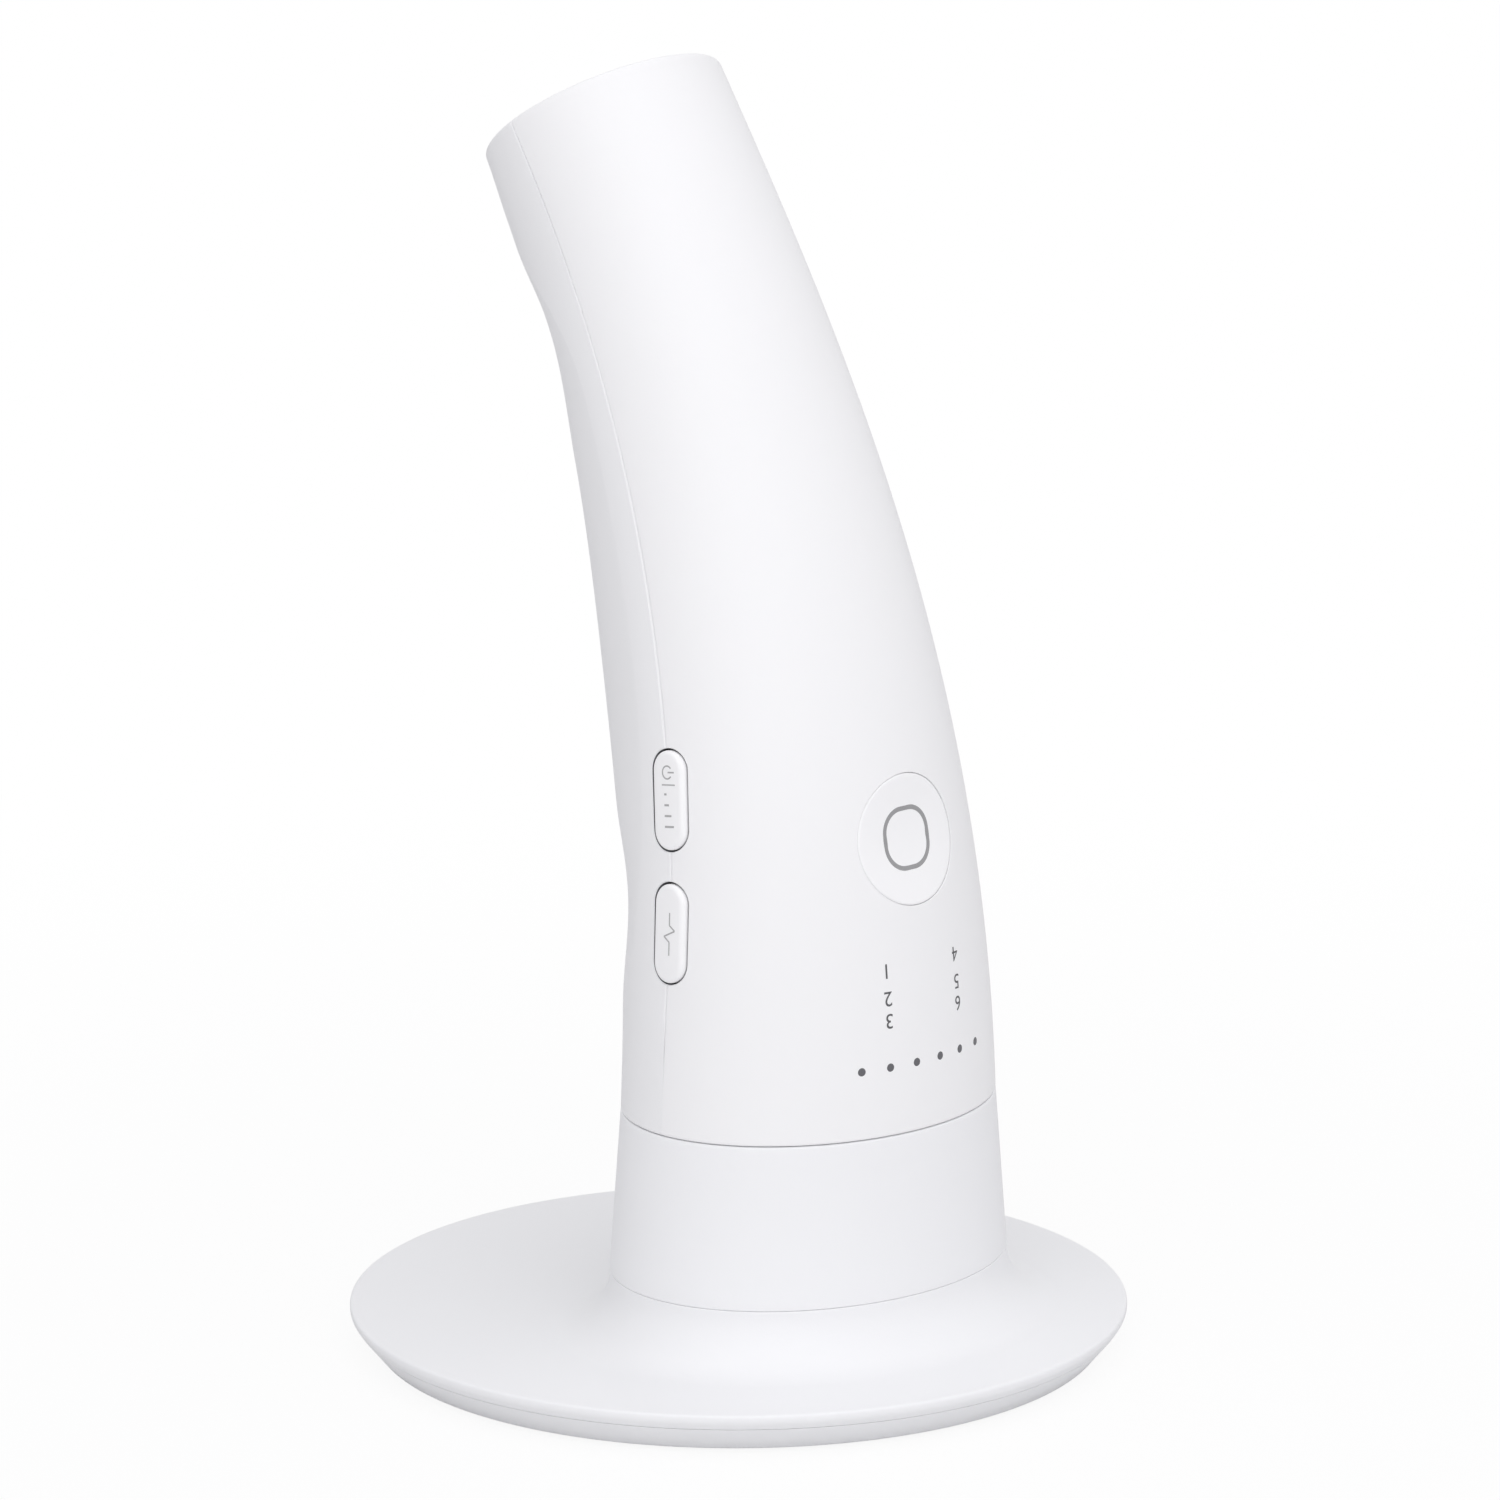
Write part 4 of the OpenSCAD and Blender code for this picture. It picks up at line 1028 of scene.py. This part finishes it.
def light_row_tree():
    """Sets a light at even steps round an oval, each facing straight out of it."""
    sockets = {"Light": "Geometry", "Count": "Int", "Pitch": "Float", "Half Width": "Float",
               "Half Depth": "Float", "Finish": "Material"}
    g, (light, count, pitch, half_width, half_depth, finish) = open_tree("light_row", "Lights", sockets)
    index = g.node("GeometryNodeInputIndex")[0]
    widened = 1.01      # makes up for the oval's shorter steps towards the sides
    turn = (index - (count - 1) / 2) * pitch / half_width * widened
    x, y = turn.sin(), turn.cos() * -1
    line = g.node("GeometryNodeMeshLine", None, {"Count": count})[0]
    place = g.point(half_width * x, half_depth * y)
    points = g.node("GeometryNodeSetPosition", None, {"Geometry": line, "Position": place})[0]
    out = g.point(x / half_width, y / half_depth)
    facing = g.node("FunctionNodeAlignRotationToVector", {"axis": "Z"}, {"Vector": out})[0]
    placed = g.node("GeometryNodeInstanceOnPoints", None,
                    {"Points": points, "Instance": light, "Rotation": facing})[0]
    return close_tree(g, placed, finish)


def make_marks():
    """The row of status lights, and the numerals between it and the flash button."""
    body = Housing()
    u, h = body.lights_at, body.sizes
    lens = [(0.64, -0.8), (0.64, 0.0), (0.6, 0.02), (0.48, 0.035), (0.2, 0.04)]      # radius and height
    light = plain_mesh(*stacked([level(circle(r * MM, 40), z * MM) for r, z in lens]))
    mesh = run_tree(linked("light", light), light_row_tree(), {
        "Count": h.light_count, "Pitch": h.light_pitch, "Half Width": float(body.half_width(u)),
        "Half Depth": float(body.half_depth(u)), "Finish": finishes["light_window"]})
    move_points(mesh, body.section(u).out)
    finish_piece("status_lights", mesh, "light_window", "handset", ("light_guide",))

    columns, rows = (-7.3 * MM, 7.5 * MM), (0.1492, 0.1244, 0.1045)
    prints = []
    for digit, (x, u) in zip("123456", [(x, u) for x in columns for u in rows]):
        spot = Spot(body, u, math.pi / 2 + math.asin(x / float(body.half_width(u))))
        outline, faces = text_outline(digit, height=2.3 * MM)
        outline = -outline      # the handset stands on its head
        prints.append((spot.out(level(outline, spot.height(*outline.T) + 0.02 * MM)), faces))
    flat_print("mode_numerals", prints, "dark_print", "handset")


def dress_nodes():
    """Gives every node of the frame the finish of its own material slot."""
    slots = {p["node"]: p["material_slot"] for p in frame["record"]["subparts"]}
    for node, made in frame["nodes"].items():
        finish = finishes[slots[node]]
        if not made.material_slots:
            made.data.materials.append(finish)
        for place in made.material_slots:
            place.material = finish


# Stage

def soft_light(name, place, power, size=1.5):
    """A square light that faces the object's middle."""
    lamp = bpy.data.lights.new(name, "AREA")
    lamp.shape, lamp.size, lamp.size_y, lamp.energy = "RECTANGLE", size, size, power
    made = linked(name, lamp)
    made.location = place
    made.rotation_euler = (Vector(place) - Vector((0, 0, 0.09))).to_track_quat("Z", "Y").to_euler()


def make_floor(s):
    """A pale floor that keeps the object's shadow; the camera sees it fade to white farther out."""
    steps = 96
    rim = level(circle(6, steps), -0.02 * MM)
    mesh = bpy.data.meshes.new("floor")
    mesh.from_pydata([tuple(map(float, p)) for p in rim], [], [tuple(range(steps))])
    floor = linked("floor", mesh)
    material = bpy.data.materials.new("pale_floor")
    material.use_nodes = True
    g = Graph(material.node_tree)
    seen = g.output("Is Camera Ray", "ShaderNodeLightPath")
    place = g.output("Object", "ShaderNodeTexCoord")
    far = g.node("ShaderNodeVectorMath", {"operation": "LENGTH"}, {0: place})[1]
    fade = g.node("ShaderNodeMapRange", {"interpolation_type": "SMOOTHSTEP"}, {
        "Value": far, "From Min": 0.08, "From Max": 0.4, "To Min": s.floor_white})[0]
    pale = g.mix(seen, (s.floor_tone,) * 3, (0.95,) * 3)
    lit = g.node("ShaderNodeBsdfPrincipled", None, {"Base Color": pale, "Roughness": 0.7})[0]
    white = g.node("ShaderNodeEmission", None, {"Color": (1, 1, 1, 1)})[0]
    shown = g.node("ShaderNodeMixShader", None, {0: seen * fade, 1: lit, 2: white})[0]
    g.node("ShaderNodeOutputMaterial", None, {"Surface": shown})
    mesh.materials.append(material)


def make_surroundings(s):
    """Even light that leans to one side, and white for the camera, for gloss and through clear parts."""
    world = bpy.data.worlds.new("surroundings")
    bpy.context.scene.world = world
    world.use_nodes = True
    g = Graph(world.node_tree)
    seen = {v.socket.name: v for v in g.node("ShaderNodeLightPath")}
    direct = seen["Is Camera Ray"] + seen["Is Glossy Ray"] + seen["Is Transmission Ray"]
    way = g.output("Generated", "ShaderNodeTexCoord")
    lean = g.node("ShaderNodeVectorMath", {"operation": "DOT_PRODUCT"}, {0: way, 1: tuple(s.ambient_lean)})[1]
    even = g.node("ShaderNodeBackground", None,
                  {"Color": (0.995, 0.988, 1.018, 1), "Strength": lean + s.ambient})[0]
    white = g.node("ShaderNodeBackground", None, {"Color": (1, 1, 1, 1)})[0]
    mixed = g.node("ShaderNodeMixShader", None, {0: direct, 1: even, 2: white})[0]
    g.node("ShaderNodeOutputWorld", None, {"Surface": mixed})


def make_camera(s):
    """The camera on its sphere round the object's middle, with a small shift and roll."""
    shift, middle = 1.968 * MM, 92.862 * MM
    a, e, roll = s.camera_azimuth, s.camera_elevation, s.camera_roll
    back = Vector((math.sin(a) * math.cos(e), -math.cos(a) * math.cos(e), math.sin(e)))
    right = Vector((math.cos(a), math.sin(a), 0))
    up = back.cross(right)
    place = back * s.camera_distance + right * shift + Vector((0, 0, middle))
    right, up = (right * math.cos(roll) + up * math.sin(roll), up * math.cos(roll) - right * math.sin(roll))
    data = bpy.data.cameras.new("camera")
    data.lens, data.sensor_width = s.camera_lens, 36
    data.clip_start, data.clip_end = 0.05, 30
    camera = linked("camera", data)
    camera.matrix_world = Matrix.Translation(place) @ Matrix((right, up, back)).transposed().to_4x4()
    bpy.context.scene.camera = camera


def make_stage():
    """Floor, surroundings, lights and camera."""
    s = settings_of("stage")
    make_floor(s)
    make_surroundings(s)
    soft_light("front_softbox", (-0.92, -0.92, 0.84), s.front_power)
    soft_light("top_softbox", (-0.09, -0.09, 1.58), s.top_power)
    make_camera(s)
    bpy.context.scene.view_settings.view_transform = "Standard"


# Operators and panel

class EPILATOR_OT_finishes(bpy.types.Operator):
    """Make the finishes and give them to the nodes of the frame"""
    bl_idname = "epilator.finishes"
    bl_label = "Finishes"

    def execute(self, context):
        make_finishes()
        dress_nodes()
        return {"FINISHED"}


class EPILATOR_OT_stand(bpy.types.Operator):
    """Make the round stand"""
    bl_idname = "epilator.stand"
    bl_label = "Stand"

    def execute(self, context):
        make_stand()
        return {"FINISHED"}


class EPILATOR_OT_head_cap(bpy.types.Operator):
    """Make the removable head cap"""
    bl_idname = "epilator.head_cap"
    bl_label = "Head cap"

    def execute(self, context):
        make_head_cap()
        return {"FINISHED"}


class EPILATOR_OT_housing(bpy.types.Operator):
    """Make the two halves of the leaning housing and its end plate"""
    bl_idname = "epilator.housing"
    bl_label = "Housing"

    def execute(self, context):
        make_housing()
        make_tail()
        return {"FINISHED"}


class EPILATOR_OT_buttons(bpy.types.Operator):
    """Make the flash button and the side buttons"""
    bl_idname = "epilator.buttons"
    bl_label = "Buttons"

    def execute(self, context):
        make_flash_button()
        make_side_buttons()
        return {"FINISHED"}


class EPILATOR_OT_marks(bpy.types.Operator):
    """Make the status lights and the printed marks"""
    bl_idname = "epilator.marks"
    bl_label = "Lights and marks"

    def execute(self, context):
        make_marks()
        return {"FINISHED"}


class EPILATOR_OT_stage(bpy.types.Operator):
    """Make the floor, the lights and the camera"""
    bl_idname = "epilator.stage"
    bl_label = "Stage"

    def execute(self, context):
        make_stage()
        return {"FINISHED"}


STEPS = ("finishes", "stand", "head_cap", "housing", "buttons", "marks", "stage")


class EPILATOR_PT_panel(bpy.types.Panel):
    """The epilator's sizes, finishes and making steps"""
    bl_idname = "EPILATOR_PT_panel"
    bl_label = "Light-based epilator"
    bl_space_type = "VIEW_3D"
    bl_region_type = "UI"
    bl_category = "Epilator"

    def draw(self, context):
        for name in GROUPS:
            group = getattr(context.scene, name)
            box = self.layout.box()
            for key in group.bl_rna.properties.keys():
                if key not in ("rna_type", "name"):
                    box.prop(group, key)
        for step in STEPS:
            self.layout.operator("epilator." + step)


GROUPS = {"epilator_stand": StandSettings, "epilator_handset": HandsetSettings,
          "epilator_finish": FinishSettings, "epilator_stage": StageSettings}
CLASSES = (*GROUPS.values(), EPILATOR_OT_finishes, EPILATOR_OT_stand, EPILATOR_OT_head_cap,
           EPILATOR_OT_housing, EPILATOR_OT_buttons, EPILATOR_OT_marks, EPILATOR_OT_stage, EPILATOR_PT_panel)


def register():
    for kind in CLASSES:
        bpy.utils.register_class(kind)
    for name, kind in GROUPS.items():
        setattr(bpy.types.Scene, name, bpy.props.PointerProperty(type=kind))


def unregister():
    for name in GROUPS:
        delattr(bpy.types.Scene, name)
    for kind in reversed(CLASSES):
        bpy.utils.unregister_class(kind)


def main():
    register()
    for step in STEPS:
        getattr(bpy.ops.epilator, step)()


if __name__ == "__main__":
    main()
